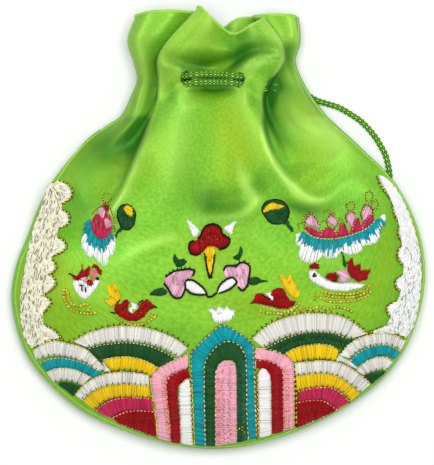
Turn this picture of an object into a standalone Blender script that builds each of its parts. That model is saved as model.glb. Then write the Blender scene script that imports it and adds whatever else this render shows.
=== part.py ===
"""A satin lucky charm pouch, lying on its back with its drawcord pulled.

Two cloth panels are sewn together round the rim and the sides, and open at the mouth.
A cord passes twice round the neck through slits and leaves as one loose loop.
Raised fields of satin stitch make the pattern of waves, rock, clouds, lotus and birds.
+X is across the pouch, +Y runs towards the mouth and +Z is up, away from the floor.
"""

import math

import bmesh
import bpy
import numpy as np

MM = 0.001

# The pouch as it lies.
POUCH_WIDTH = 130 * MM
POUCH_LENGTH = 138.5 * MM
BODY_HEIGHT = 24 * MM
CLOTH = 0.7 * MM
SEAM_GAP = 0.3 * MM
SEAM_GROOVE = SEAM_GAP + 0.7 * CLOTH
RIM_ROLL = 5 * MM
DOME_REACH = 16 * MM

# The gathered neck.
NECK_LIFT = 3.2 * MM
NECK_RISE = 13 * MM
NECK_DROP = 5.5 * MM

# The drawcord and its slits.
CORD_DIAMETER = 2 * MM
CORD_STEP = 2.5
JOIN_GAP = 0.3 * MM
SLIT_LENGTH = 5.2 * MM
SLIT_WIDTH = 5.6 * MM
BACK_SLIT_LENGTH = 5 * MM
BACK_SLIT_WIDTH = 4 * MM
SLIT_DEPTH = 3 * MM

# The stitched fields.
STITCH_HEIGHT = 0.6 * MM
STITCH_GAP = 0.4 * MM
WIDEST_CELL = 5 * MM

# The pattern is drawn on a sheet of units, x to the right and y down the pouch.
DRAWING_WIDTH = 414
DRAWING_LENGTH = 441
DRAWING_MIDDLE = (218.4, 227.6)
BODY_MIDDLE = (218, 275)

SATIN = (0.19, 0.58, 0.05)
CORD_GREEN = (0.02, 0.3, 0.03)
THREADS = {
    "cream": (0.87, 0.84, 0.74),
    "white": (0.88, 0.88, 0.9),
    "teal": (0.004, 0.3, 0.38),
    "dark_green": (0.016, 0.07, 0.026),
    "yellow": (0.87, 0.51, 0.01),
    "magenta": (0.68, 0.03, 0.15),
    "dark_red": (0.33, 0.002, 0.017),
    "red": (0.5, 0.01, 0.02),
    "pink": (0.83, 0.3, 0.5),
}


def clear_scene():
    for old in list(bpy.data.objects):
        bpy.data.objects.remove(old, do_unlink=True)


def plan(points):
    """Drawing units to metres on the floor plan, with +Y towards the mouth."""
    scale = (POUCH_WIDTH / DRAWING_WIDTH, -POUCH_LENGTH / DRAWING_LENGTH)
    return (np.asarray(points, float) - DRAWING_MIDDLE) * scale


def level(y_drawn):
    """The height on the plan, in metres, of one y of the drawing."""
    return plan((0, y_drawn))[1]


def smooth(at, knots, values):
    """The smooth curve through values at the knots, a cubic between each two of them."""
    knots, values = np.asarray(knots, float), np.asarray(values, float)
    slopes = np.gradient(values, knots, axis=0)
    i = np.clip(np.searchsorted(knots, at, side="right") - 1, 0, len(knots) - 2)
    span = knots[i + 1] - knots[i]
    u = (at - knots[i]) / span
    shape = u.shape + (1,) * (values.ndim - 1)
    u, span = u.reshape(shape), span.reshape(shape)
    start = (1 + 2 * u) * (1 - u) ** 2 * values[i] + u * (1 - u) ** 2 * span * slopes[i]
    end = u * u * (3 - 2 * u) * values[i + 1] - u * u * (1 - u) * span * slopes[i + 1]
    return start + end


def ease(x, low, high):
    """0 at low, 1 at high, with no corner at either."""
    u = np.clip((x - low) / (high - low), 0, 1)
    return u * u * (3 - 2 * u)


# The rim from the left shoulder round the bottom to the right shoulder, then over the
# neck: x, y and the angle in degrees by which the back cloth rolls up past the rim.
RIM = (
    (100, 132, 0), (80, 148, 25), (59, 172, 40), (41, 201, 46), (27, 236, 46),
    (15, 268, 46), (11, 296, 46), (15, 324, 46), (27, 356, 46), (53, 388, 46),
    (83, 412, 45), (117, 428, 38), (170, 444, 26), (217, 447.5, 20), (258, 443, 26),
    (300, 430, 38), (349, 405, 50), (389, 372, 48), (412, 335, 32), (421, 304, 24),
    (425, 268, 26), (422, 244, 26), (409.5, 208, 26), (393, 181, 24), (362, 151, 16),
    (335, 127, 0), (325, 118, 0), (292, 86, 0), (222, 74, 0), (160, 85, 0), (124, 117, 0),
)
RIM_END = math.radians(141)


def round_body(x, y):
    """The turn about the body's middle, 0 towards the bottom, and the distance from it."""
    cx, cy = plan(BODY_MIDDLE)
    return np.arctan2(x - cx, cy - y), np.hypot(x - cx, y - cy)


def rim_at(turn):
    """The rim's distance from the middle and the roll of the back cloth at each turn."""
    points = np.array(RIM)
    x, y = plan(points[:, :2]).T
    turns, far = round_body(x, y)
    order = np.argsort(turns)
    turns, far, roll = turns[order], far[order], np.radians(points[order, 2])
    turns = np.concatenate([turns[-3:] - 2 * np.pi, turns, turns[:3] + 2 * np.pi])
    far = np.concatenate([far[-3:], far, far[:3]])
    roll = np.concatenate([roll[-3:], roll, roll[:3]])
    both = smooth(turn, turns, np.stack([far, np.maximum(roll, 0)], axis=1))
    return both[..., 0], np.maximum(both[..., 1], 0)


def lift(y):
    """How far the shoulders and the neck are held off the floor."""
    return NECK_LIFT * ease(y, level(250), level(195))


def seam_height(turn, y):
    return RIM_ROLL * (1 + np.sin(rim_at(turn)[1])) + lift(y)


# Soft folds of the front that run down from the neck: height, width, then the route.
BODY_FOLDS = (
    (1.6, 4.5, ((157, 100), (150, 120), (138, 155), (127, 180))),
    (-1.5, 4.5, ((146, 112), (136, 130), (122, 160))),
    (1.5, 4.5, ((300, 108), (316, 128), (338, 156))),
    (-2.0, 5.0, ((272, 112), (276, 135), (288, 160), (302, 176))),
    (1.2, 4.5, ((258, 110), (258, 135), (266, 160))),
    (-1.2, 4.0, ((232, 118), (236, 150), (246, 172))),
)


def fold_relief(x, y):
    """The sum of the soft folds: each swells along its route and fades at both ends."""
    relief = np.zeros_like(x)
    for height, width, route in BODY_FOLDS:
        line = plan(route)
        steps = np.linspace(0, len(line) - 1, 25)
        px, py = smooth(steps, np.arange(len(line)), line).T
        gap = np.hypot(x[..., None] - px, y[..., None] - py)
        nearest = gap.argmin(axis=-1) / (len(steps) - 1)
        swell = np.sin(np.pi * np.clip(nearest, 0.02, 0.98)) ** 0.7
        relief += height * MM * swell * np.exp(-((gap.min(axis=-1) / (width * MM)) ** 2))
    return relief


def front_height(x, y):
    """The top of the front panel over the body: it climbs from the seam to the dome."""
    turn, out = round_body(x, y)
    rim, roll = rim_at(turn)
    inside = np.maximum(rim - RIM_ROLL * (1 - np.cos(roll)) - out, 0)
    seam = seam_height(turn, y) + SEAM_GROOVE / 2
    dome = seam + (BODY_HEIGHT - seam) * (1 - np.exp(-inside / DOME_REACH))
    return dome + fold_relief(x, y) * (1 - np.exp(-inside / RIM_ROLL))


def back_height(x, y):
    """The underside of the back panel over the body: flat on the floor, round at the rim."""
    turn, out = round_body(x, y)
    inside = np.clip(rim_at(turn)[0] - out, 0, RIM_ROLL)
    return RIM_ROLL - np.sqrt(RIM_ROLL**2 - (RIM_ROLL - inside) ** 2) + lift(y)


# Neck rows from the foot of the neck to the mouth: y, left side and right side.
NECK_ROWS = np.array((
    (117.5, 124, 325), (98, 132.5, 310.5), (80, 139, 300),
    (61, 135.5, 293.5), (41, 129.5, 298.5), (18, 138, 297),
))
# The front's section across each row: how far round the cloth each knot is, then its
# place across the neck and its share of the rise, with the middle lobe over its sides.
FRONT_KNOTS = (-1, -0.86, -0.77, -0.67, -0.59, -0.43, -0.28, -0.02, 0.24, 0.38, 0.54, 0.7, 0.84, 1)
FRONT_ACROSS = (
    (-1, -0.96, -0.89, -0.80, -0.74, -0.69, -0.47, -0.09, 0.22, 0.37, 0.43, 0.62, 0.86, 1),
    (-1, -1.00, -0.91, -0.80, -0.71, -0.71, -0.48, -0.08, 0.30, 0.47, 0.50, 0.70, 0.91, 1),
    (-1, -1.01, -0.93, -0.80, -0.67, -0.76, -0.55, -0.07, 0.40, 0.66, 0.54, 0.76, 0.95, 1),
    (-1, -1.01, -0.92, -0.76, -0.60, -0.72, -0.50, 0.09, 0.60, 0.88, 0.70, 0.87, 0.98, 1),
    (-1, -1.01, -0.89, -0.66, -0.36, -0.48, -0.29, 0.17, 0.57, 0.79, 0.63, 0.83, 0.97, 1),
    (-1, -1.01, -0.85, -0.50, -0.14, -0.23, -0.11, 0.18, 0.43, 0.59, 0.45, 0.69, 0.92, 1),
)
FRONT_UP = (
    (0, 0.32, 0.50, 0.48, 0.42, 0.56, 0.92, 0.96, 0.92, 0.72, 0.56, 0.66, 0.42, 0),
    (0, 0.26, 0.46, 0.36, 0.26, 0.56, 0.92, 0.82, 0.88, 0.60, 0.34, 0.54, 0.34, 0),
    (0, 0.26, 0.46, 0.36, 0.27, 0.60, 0.92, 0.67, 0.88, 0.60, 0.28, 0.44, 0.28, 0),
    (0, 0.32, 0.58, 0.46, 0.20, 0.76, 1.02, 0.76, 0.98, 0.66, 0.20, 0.34, 0.24, 0),
    (0, 0.38, 0.68, 0.68, 0.32, 0.84, 1.06, 0.78, 1.02, 0.78, 0.26, 0.42, 0.32, 0),
    (0, 0.36, 0.66, 0.68, 0.40, 0.82, 1.00, 0.66, 0.92, 0.74, 0.28, 0.42, 0.32, 0),
)
# How far the hem stands past the mouth row at each knot, in drawing units.
FRONT_HEM = (0, 2, 5, 7, 8, 10, 1, -16.5, -8, -1, 1, 2.5, 2, 0)
BACK_KNOTS = (-1, -0.75, -0.5, -0.25, 0, 0.25, 0.5, 0.75, 1)
BACK_ACROSS = (-1, -0.94, -0.6, -0.28, 0, 0.27, 0.6, 0.94, 1)
BACK_DOWN = (
    (0, 0.75, 1.00, 0.85, 1.00, 0.85, 1.00, 0.75, 0),
    (0, 0.80, 1.00, 0.78, 1.00, 0.80, 1.00, 0.80, 0),
    (0, 0.80, 1.00, 0.75, 1.00, 0.78, 1.00, 0.80, 0),
    (0, 0.85, 1.05, 0.72, 1.05, 0.74, 1.00, 0.80, 0),
    (0, 1.00, 1.25, 0.80, 1.25, 0.85, 1.25, 1.00, 0),
    (0, 1.10, 1.35, 0.95, 1.38, 0.95, 1.38, 1.10, 0),
)
BACK_HEM = (0, 1, 3, 4, -12, -1, 0, 1, 0)
HEM_SHARE = (0, 0, 0, 0.2, 0.6, 1)


def neck_grid(across, up, hem, knots, s, rows):
    """The folded cloth of the neck: rows of sections, smooth along and across."""
    steps = np.arange(len(NECK_ROWS))
    y, left, right = smooth(rows, steps, NECK_ROWS).T
    x_share = smooth(s, knots, smooth(rows, steps, across).T)
    height = smooth(s, knots, smooth(rows, steps, up).T)
    wave = smooth(s, knots, hem)[:, None] * smooth(rows, steps, HEM_SHARE)
    x = (left + right) / 2 + x_share * (right - left) / 2
    flat = plan(np.stack([x, y - wave], axis=-1))
    return flat[..., 0], flat[..., 1], RIM_ROLL + NECK_LIFT + height


def body_grid(start, foot, shares):
    """Straight columns of cloth that fan out from the foot of the neck to the rim."""
    flat = start[:, None] + (foot - start)[:, None] * np.asarray(shares)[:, None]
    return flat[..., 0], flat[..., 1]


def rim_points(s, angle_share):
    """Points round the rim roll, from 0 at the widest line to 1 at the seam."""
    turn = s * RIM_END
    rim, roll = rim_at(turn)
    out = rim - RIM_ROLL * (1 - np.cos(roll * angle_share))
    cx, cy = plan(BODY_MIDDLE)
    flat = np.stack([cx + out * np.sin(turn), cy - out * np.cos(turn)], axis=-1)
    return flat, RIM_ROLL * (1 + np.sin(roll * angle_share)) + lift(flat[:, 1])


def neck_share(y):
    """0 over the embroidered body and 1 at the foot of the neck."""
    return ease(y, level(174), level(119))


FRONT_COLUMNS = np.linspace(-1, 1, 41)
FRONT_SHARES = (0, 0.03, 0.07, 0.12, 0.18, 0.26, 0.35, 0.46, 0.58, 0.70, 0.81, 0.91)
FRONT_ROWS = np.linspace(0, 5, 12)
BACK_COLUMNS = np.linspace(-1, 1, 29)
BACK_SHARES = (0.008, 0.02, 0.045, 0.09, 0.16, 0.3, 0.5, 0.7, 0.86)
BACK_ROWS = np.linspace(0, 5, 9)


def front_points():
    s = FRONT_COLUMNS
    up = NECK_RISE * np.array(FRONT_UP)
    nx, ny, nz = neck_grid(FRONT_ACROSS, up, FRONT_HEM, FRONT_KNOTS, s, FRONT_ROWS)
    foot = np.stack([nx[:, 0], ny[:, 0]], axis=-1)
    x, y = body_grid(rim_points(s, 1)[0], foot, FRONT_SHARES)
    share = neck_share(y)
    z = (1 - share) * front_height(x, y) + share * (nz[:, :1] + SEAM_GROOVE / 2)
    body = np.stack([x, y, z], axis=-1)
    return np.concatenate([body, np.stack([nx, ny, nz + SEAM_GROOVE / 2], axis=-1)], axis=1)


def back_points():
    s = BACK_COLUMNS
    down = -NECK_DROP * np.array(BACK_DOWN)
    across = (BACK_ACROSS,) * len(NECK_ROWS)
    nx, ny, nz = neck_grid(across, down, BACK_HEM, BACK_KNOTS, s, BACK_ROWS)
    foot = np.stack([nx[:, 0], ny[:, 0]], axis=-1)
    rolled = [rim_points(s, share) for share in (1, 0.5, 0)]
    rim = np.stack([np.column_stack([flat, up]) for flat, up in rolled], axis=1)
    x, y = body_grid(rolled[-1][0], foot, BACK_SHARES)
    share = neck_share(y)
    z = (1 - share) * back_height(x, y) + share * nz[:, :1]
    body = np.stack([x, y, z], axis=-1)
    grid = np.concatenate([rim, body, np.stack([nx, ny, nz], axis=-1)], axis=1)
    grid[:, 0, 2] -= SEAM_GROOVE / 2
    grid[[0, -1], 1:, 2] -= SEAM_GROOVE / 2
    return grid


def grid_mesh(name, points, flip=False):
    """A mesh of four-sided faces over a grid of points, with equal points made one."""
    across, along = points.shape[:2]
    index = np.arange(across * along).reshape(across, along)
    quads = np.stack([index[:-1, :-1], index[1:, :-1], index[1:, 1:], index[:-1, 1:]], axis=-1)
    quads = quads.reshape(-1, 4)
    mesh = bpy.data.meshes.new(name)
    quads = quads[:, ::-1] if flip else quads
    mesh.from_pydata(points.reshape(-1, 3).tolist(), [], quads.tolist())
    build = bmesh.new()
    build.from_mesh(mesh)
    bmesh.ops.remove_doubles(build, verts=build.verts, dist=1e-6)
    build.to_mesh(mesh)
    build.free()
    mesh.shade_smooth()
    return mesh


def material(name, colour, roughness, sheen=0.0):
    made = bpy.data.materials.new(name)
    made.use_nodes = True
    shader = made.node_tree.nodes["Principled BSDF"]
    shader.inputs["Base Color"].default_value = (*colour, 1)
    shader.inputs["Roughness"].default_value = roughness
    shader.inputs["Metallic"].default_value = 0
    shader.inputs["Sheen Weight"].default_value = sheen
    return made


def add_object(name, data, finish, collection):
    made = bpy.data.objects.new(name, data)
    made.data.materials.append(finish)
    collection.objects.link(made)
    return made


def thicken(piece, wall, outward=False):
    shell = piece.modifiers.new("Wall", "SOLIDIFY")
    shell.thickness = wall
    shell.offset = 1 if outward else -1


def slit_cutter(name, place, length, width, collection):
    """A round-ended cutter that stands through one layer of cloth."""
    build = bmesh.new()
    bmesh.ops.create_cone(
        build, cap_ends=True, segments=12, radius1=0.5, radius2=0.5, depth=1
    )
    x, y = plan(place[:2])
    for vertex in build.verts:
        vertex.co.x = x + vertex.co.x * length
        vertex.co.y = y + vertex.co.y * width
        vertex.co.z = place[2] * MM + vertex.co.z * SLIT_DEPTH
    mesh = bpy.data.meshes.new(name)
    build.to_mesh(mesh)
    build.free()
    cutter = bpy.data.objects.new(name, mesh)
    collection.objects.link(cutter)
    cutter.hide_render = True
    cutter.display_type = "WIRE"
    return cutter


def cut(piece, cutter):
    made = piece.modifiers.new(cutter.name, "BOOLEAN")
    made.operation = "DIFFERENCE"
    made.object = cutter


# Each slit's place in drawing units and its height in millimetres.
FRONT_SLITS = (("slit_left", 187, 80.5, 19.2), ("slit_right", 239, 81, 18.9))
BACK_SLITS = (("slit_back_upper", 280.5, 67.5, 3.6), ("slit_back_lower", 239, 92.6, 3.9))

# The cord's route in drawing units, with its height in millimetres: the loose loop on
# the floor, then twice round the neck, over the front between its two slits.
LOOP_ROUTE = (
    (288, 72.5, 1.6), (293, 80, 1.15), (299.5, 88, 1.05), (308, 95, 1.05), (317, 100, 1.05),
    (326, 103, 1.05), (338.5, 107, 1.05), (351, 114, 1.05), (360, 120, 1.05),
    (368, 127.6, 1.05), (375, 136, 1.05), (381, 145.5, 1.05), (385.5, 154, 1.05),
    (388, 162.6, 1.05), (389.6, 171, 1.05), (390.3, 180, 1.05), (389.5, 190, 1.05),
    (385.5, 200, 1.05), (377, 206.5, 1.05), (364, 208, 1.05), (346, 204, 1.05),
    (325, 193, 1.05), (305, 176, 1.05), (288, 154, 1.05), (274, 130, 1.05),
    (262, 112, 1.05), (255, 102, 1.3), (249, 96, 1.9),
)
NECK_ROUTE = (
    (241.5, 92.7, 3.4), (233, 91.4, 5.3), (220, 90.3, 5.9), (195, 89.3, 5.9),
    (167, 88.3, 5.2), (151, 87.5, 5.4), (146, 86.8, 7.2), (151, 86, 8.9), (162, 85.6, 9.4),
    (170, 85.3, 10), (175, 85.2, 12.4), (179.5, 85, 16.8), (187, 84.4, 19.8),
    (194, 83.6, 21.3), (203, 83, 20.6), (216, 82.8, 19.1), (231, 83.4, 21),
    (240, 84.6, 19), (248, 85.4, 16), (254.5, 85.8, 12.2), (260, 86, 10), (273, 86, 9.4),
    (287, 85.6, 9), (293, 84.6, 7.2), (288, 83.6, 5.4),
    (275, 82.8, 5.2), (250, 81.6, 5.9), (220, 80.6, 5.9), (190, 80, 5.9), (165, 79.4, 5.2),
    (151, 78.8, 5.4), (146, 78.4, 7.2), (151, 78, 8.9), (162, 77.6, 9.4),
    (170, 77.4, 10), (175, 77.2, 12.4), (179.5, 77, 16.8), (187, 76.4, 19.8),
    (194, 75.4, 21.3), (203, 74.8, 20.6), (217, 74.8, 19.1), (231, 76.2, 21),
    (240, 77.4, 19), (248, 77.4, 16), (254.5, 76, 12.2), (261, 73.6, 9.4),
    (269, 70, 7.2), (276, 67.4, 4.9), (281.5, 67.4, 3.2), (285.4, 69.2, 2.2),
)


def cord_route():
    """The whole cord as a smooth closed line, sampled closely, and the loop's length."""
    drawn = np.array(LOOP_ROUTE + NECK_ROUTE + LOOP_ROUTE[:1], float)
    points = np.column_stack([plan(drawn[:, :2]), drawn[:, 2] * MM])
    run = np.concatenate([[0], np.cumsum(np.linalg.norm(np.diff(points, axis=0), axis=1))])
    fine = np.linspace(0, run[-1], 3000)
    return smooth(fine, run, points), fine, run[len(LOOP_ROUTE) - 1], run[-1]


def cord_node(name, start, end, line, fine, finish, collection):
    """A plain tube along the route between two lengths."""
    count = round((end - start) / (CORD_STEP * CORD_DIAMETER)) + 1
    at = np.linspace(start, end, count)
    at = np.insert(at, [1, count - 1], [start + CORD_DIAMETER / 2, end - CORD_DIAMETER / 2])
    points = np.stack([np.interp(at, fine, line[:, axis]) for axis in range(3)], axis=1)
    curve = bpy.data.curves.new(name, "CURVE")
    curve.dimensions = "3D"
    curve.bevel_depth = CORD_DIAMETER / 2
    curve.bevel_resolution = 2
    curve.use_fill_caps = True
    spline = curve.splines.new("POLY")
    spline.points.add(len(at) - 1)
    spline.points.foreach_set("co", np.column_stack([points, np.ones(len(at))]).ravel())
    return add_object(name, curve, finish, collection)


def edge_line(points, steps, corners):
    """An edge of a field, drawn through its points, straight between them or round."""
    flat = plan(points)
    if corners:
        places = np.arange(len(flat))
        at = np.linspace(0, len(flat) - 1, (len(flat) - 1) * steps + 1)
        return np.stack([np.interp(at, places, flat[:, axis]) for axis in range(2)], axis=1)
    run = np.concatenate([[0], np.cumsum(np.linalg.norm(np.diff(flat, axis=0), axis=1))])
    return smooth(np.linspace(0, run[-1], steps + 1), run, flat)


def stitched_field(name, thread, outer, inner, steps, corners, collection):
    """A raised field of satin stitch between two edges, laid over the front panel."""
    first, last = edge_line(outer, steps, corners), edge_line(inner, steps, corners)
    widest = np.linalg.norm(last - first, axis=1).max()
    share = np.linspace(0, 1, 1 + math.ceil(widest / WIDEST_CELL))[:, None]
    flat = first[:, None] + (last - first)[:, None] * share
    x, y = flat[..., 0], flat[..., 1]
    z = front_height(x, y) + STITCH_GAP
    points = np.stack([x, y, z], axis=-1)
    side, across = points[1, 0] - points[0, 0], points[0, 1] - points[0, 0]
    mesh = grid_mesh(name, points, flip=side[0] * across[1] < side[1] * across[0])
    mesh.shade_flat()
    piece = add_object(name, mesh, material(name, THREADS[thread], 0.45, 0.3), collection)
    thicken(piece, STITCH_HEIGHT, outward=True)
    return piece


# Fields of stitch: name, thread, outer edge, inner edge, steps along them, cornered or not.
WAVES = (
    ("wave_left_top_white", "white",
     ((75, 341), (86, 335), (102, 329), (129, 326), (157, 331), (176, 339), (188, 348)),
     ((88, 346), (97, 343), (108, 341), (129, 339.5), (150, 342.5), (164, 347), (178, 354)), 9, False),
    ("wave_left_top_green", "dark_green",
     ((90, 348.5), (100, 345.5), (112, 343.8), (129, 343), (147, 345.6), (160, 350), (173, 357)),
     ((102, 357.5), (108, 355.5), (116, 354.5), (129, 354.5), (142, 356.5), (151, 360), (159, 364)), 7, False),
    ("wave_left_top_yellow", "yellow",
     ((104, 360), (111, 358), (119, 357), (129, 356.8), (140, 358.8), (148, 361.8), (156, 366)),
     ((112, 368.5), (117, 368), (123, 367.6), (130, 367.8), (137, 368.8), (143, 370.2),
      (147.5, 372.5)), 6, False),
    ("wave_side_left_white", "white",
     ((34.6, 351.5), (41.5, 345.7), (55.4, 341.2), (69, 343.5), (86, 349), (97, 358.5), (105, 368)),
     ((37, 358.5), (48.4, 354.6), (58, 354), (68, 355.2), (79, 358), (90, 362.5), (98.5, 369.5)), 8, False),
    ("wave_side_left_teal", "teal",
     ((41.5, 363.2), (50, 359.5), (60, 358), (73, 359.5), (86, 363.5), (95.5, 367.8)),
     ((46.5, 369.6), (54, 366.4), (62, 365.4), (71, 366.2), (79, 368), (90, 372.5)), 6, False),
    ("wave_side_left_inner_white", "white",
     ((48, 372.6), (57, 368.8), (66, 368.2), (75, 369.4), (88, 375)),
     ((54.5, 380.6), (60, 378.8), (66.4, 378.2), (74, 379.6), (81, 382)), 5, False),
    ("wave_low_left_white", "white",
     ((76.5, 394), (84, 385.5), (97, 377.2), (108, 373.6), (119, 372), (133, 372.4),
      (146.5, 374.6)),
     ((82.5, 399), (90, 391.4), (103, 385), (113, 382.6), (124.5, 382), (136, 382.6), (146.7, 384)), 8, False),
    ("wave_low_left_yellow", "yellow",
     ((84, 400.4), (92.5, 392.8), (104.5, 386.8), (114, 384.4), (125, 383.8), (137, 384.4),
      (147, 385.6)),
     ((94.5, 408), (104, 399.8), (110, 397), (117, 395.4), (125, 394.9), (137, 395), (148, 395.6)), 8, False),
    ("wave_low_left_magenta", "magenta",
     ((97, 410.6), (108, 401.4), (116, 398.6), (125, 397.1), (137, 397.2), (149.2, 398.2)),
     ((110, 416), (118, 411.4), (124.5, 409), (133, 408.2), (141, 408.2), (150, 408.6)), 6, False),
    ("wave_low_left_red", "dark_red",
     ((113.5, 417.6), (121, 413.4), (128, 410.9), (136, 410.2), (143, 410.2), (151, 410.6)),
     ((116.5, 419.5), (124, 422.6), (131, 425.4), (138.4, 428.2), (146, 431), (153.4, 433.6)), 6, False),
    ("wave_right_top_white", "white",
     ((252.5, 338.7), (261, 330.5), (273, 322.5), (293, 315.4), (316, 313.4), (341.6, 317),
      (356, 325.4), (365, 333)),
     ((268, 343.5), (276, 338.6), (287, 334.6), (300, 331.6), (314, 330.6), (330, 331.2),
      (341, 333), (351, 337)), 9, False),
    ("wave_right_top_green", "dark_green",
     ((272, 345.5), (281, 340.2), (292, 336), (305, 333), (320, 332.4), (333, 333.8), (346, 338.4)),
     ((283, 350.6), (291, 346.6), (300, 343.8), (311, 342.2), (322, 342), (331, 343.6),
      (338.6, 347.4)), 7, False),
    ("wave_right_top_yellow", "yellow",
     ((285.5, 352.6), (294, 348.6), (304, 345.6), (314, 344.2), (323, 344.2), (331, 346),
      (337.4, 349.6)),
     ((294, 360.6), (300, 358.8), (307, 357.8), (314, 357.2), (321, 357), (328, 357.4),
      (334.6, 358.4)), 6, False),
    ("wave_side_right_white", "white",
     ((339, 354.6), (348.5, 343.6), (362, 336.8), (374, 334), (386, 333.6), (397, 337),
      (404, 341.5)),
     ((348, 356.8), (356, 349.6), (366, 345.2), (376, 343.2), (384, 342.8), (393, 345), (400, 349)), 8, False),
    ("wave_side_right_teal", "teal",
     ((350.5, 358.6), (358, 352.2), (367, 347.6), (377, 345.2), (385, 345), (399, 351.4)),
     ((360, 362.8), (366, 358), (372, 355), (379, 353.2), (386, 353.2), (394.5, 357.6)), 6, False),
    ("wave_side_right_inner_white", "white",
     ((359, 367.4), (366, 361.4), (374, 357.8), (383, 357), (391.5, 361.4)),
     ((365, 372.4), (370, 370), (376, 368.2), (382, 367.8), (387.6, 368)), 5, False),
    ("wave_low_right_white", "white",
     ((298, 363.7), (310, 361.2), (323, 360.4), (338, 362.4), (352, 369.4), (362, 376.6),
      (370, 384.2)),
     ((303, 372.4), (314, 371.6), (324, 371.4), (335, 373.2), (344, 378), (353, 384.6),
      (361, 391.4)), 8, False),
    ("wave_low_right_yellow", "yellow",
     ((300, 374.4), (313, 373.6), (324, 373.6), (334, 375.4), (343, 380), (351, 386), (359.4, 393)),
     ((298, 388.6), (309, 386), (321, 384.6), (331, 385.4), (339, 388.2), (345, 393.4), (351, 400)), 8, False),
    ("wave_low_right_magenta", "magenta",
     ((298, 390.8), (309, 388.2), (321, 387), (330, 387.6), (338, 391.4), (348.4, 402.6)),
     ((299, 399.6), (307, 398), (314, 397.4), (323, 398), (330, 402), (337.6, 408.4)), 6, False),
    ("wave_low_right_red", "dark_red",
     ((298, 401.8), (306, 400.2), (314, 399.6), (321, 400.2), (328, 403.2), (335, 408.8)),
     ((298, 424.6), (305.5, 421.8), (313, 418.8), (320.5, 415.8), (328, 412.8), (334.4, 410.2)), 6, False),
)
ROCK = (
    ("rock_left_pink", "pink",
     ((158, 437), (155.5, 418), (153.4, 398), (151.4, 378), (156, 371), (171, 363.5),
      (187.5, 356.5)),
     ((170, 440.4), (168.4, 422), (166.6, 403), (165, 384), (167, 377), (176, 371), (187.5, 365)), 10, False),
    ("rock_left_red", "dark_red",
     ((172, 441), (170.4, 422), (168.8, 403), (167.4, 385), (170.4, 377.6), (178, 372.4),
      (188.4, 367.6)),
     ((179.4, 442), (178.2, 424), (177, 406), (176, 389), (178.6, 382), (183, 378), (189.6, 374.8)), 10, False),
    ("rock_left_white", "white",
     ((181.4, 442.4), (180.6, 425), (179.8, 407), (179.2, 391), (180.6, 385), (185, 380.6),
      (190, 378)),
     ((191.6, 444), (191.2, 427), (190.8, 411), (190.4, 396), (190.4, 391), (190.4, 387),
      (190.6, 383)), 10, False),
    ("rock_middle_teal", "teal",
     ((196.2, 444), (195, 414), (193.6, 385), (192.6, 357), (199, 345), (209, 334), (219, 326.4),
      (229, 325.8), (238, 329.6), (249.6, 337.6), (252.8, 347), (253.2, 376), (253.8, 405),
      (254, 435)),
     ((204.6, 445), (204.2, 417), (203.8, 389), (203.6, 362), (207.4, 353), (213, 346.4),
      (219, 341.4), (226, 339.8), (233, 341), (239.6, 345), (244.6, 352), (245.4, 378),
      (246, 404), (246.6, 430)), 2, True),
    ("rock_middle_green", "dark_green",
     ((206.8, 445), (206.4, 418), (206, 391), (206, 364), (209.4, 355.4), (214.6, 349.4),
      (220, 344.8), (226, 342.6), (232, 344), (238, 347.8), (242.2, 354), (243, 379),
      (243.6, 404), (244.2, 429)),
     ((213, 445), (212.8, 419), (212.8, 393), (213, 368), (215.4, 362.4), (218.4, 359.4),
      (221.6, 357.4), (225.4, 356.8), (229.2, 357.2), (232.4, 358.6), (235.4, 361.4),
      (236.2, 383), (236.8, 405), (237.4, 427)), 1, True),
    ("rock_middle_pink", "pink",
     ((215.2, 444.6), (215, 420), (214.8, 395), (215.2, 370), (219, 362.6), (225, 359.4)),
     ((235, 441), (234.6, 417), (234.2, 393), (233.6, 368), (231, 362.4), (227, 359.6)), 1, True),
    ("rock_right_white", "white",
     ((257.8, 436.4), (257.6, 416), (257.4, 394), (257.2, 372), (261, 370.4), (264.4, 370.2)),
     ((270.6, 433.6), (270.4, 414), (270.2, 394), (269.6, 376), (268.4, 373), (266.4, 371.2)), 1, True),
    ("rock_right_red", "dark_red",
     ((256.2, 369.4), (256, 362), (268, 361.8), (278, 365), (282, 372), (282.8, 392),
      (283.2, 411), (283.6, 430)),
     ((264, 368.4), (266, 368.6), (268.8, 370), (271, 372.4), (272, 377), (272.6, 395),
      (272.8, 414), (273, 432.6)), 1, True),
    ("rock_right_pink", "pink",
     ((256.4, 359.6), (256.2, 349.4), (268, 350.6), (281, 355.4), (290, 362), (292.6, 371),
      (293, 390), (293.2, 408), (293.4, 426)),
     ((262, 359.8), (266, 359.6), (274, 361.4), (280.4, 364.6), (283.8, 369), (284.4, 377),
      (285, 394), (285.4, 411), (285.6, 428.6)), 1, True),
)
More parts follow.
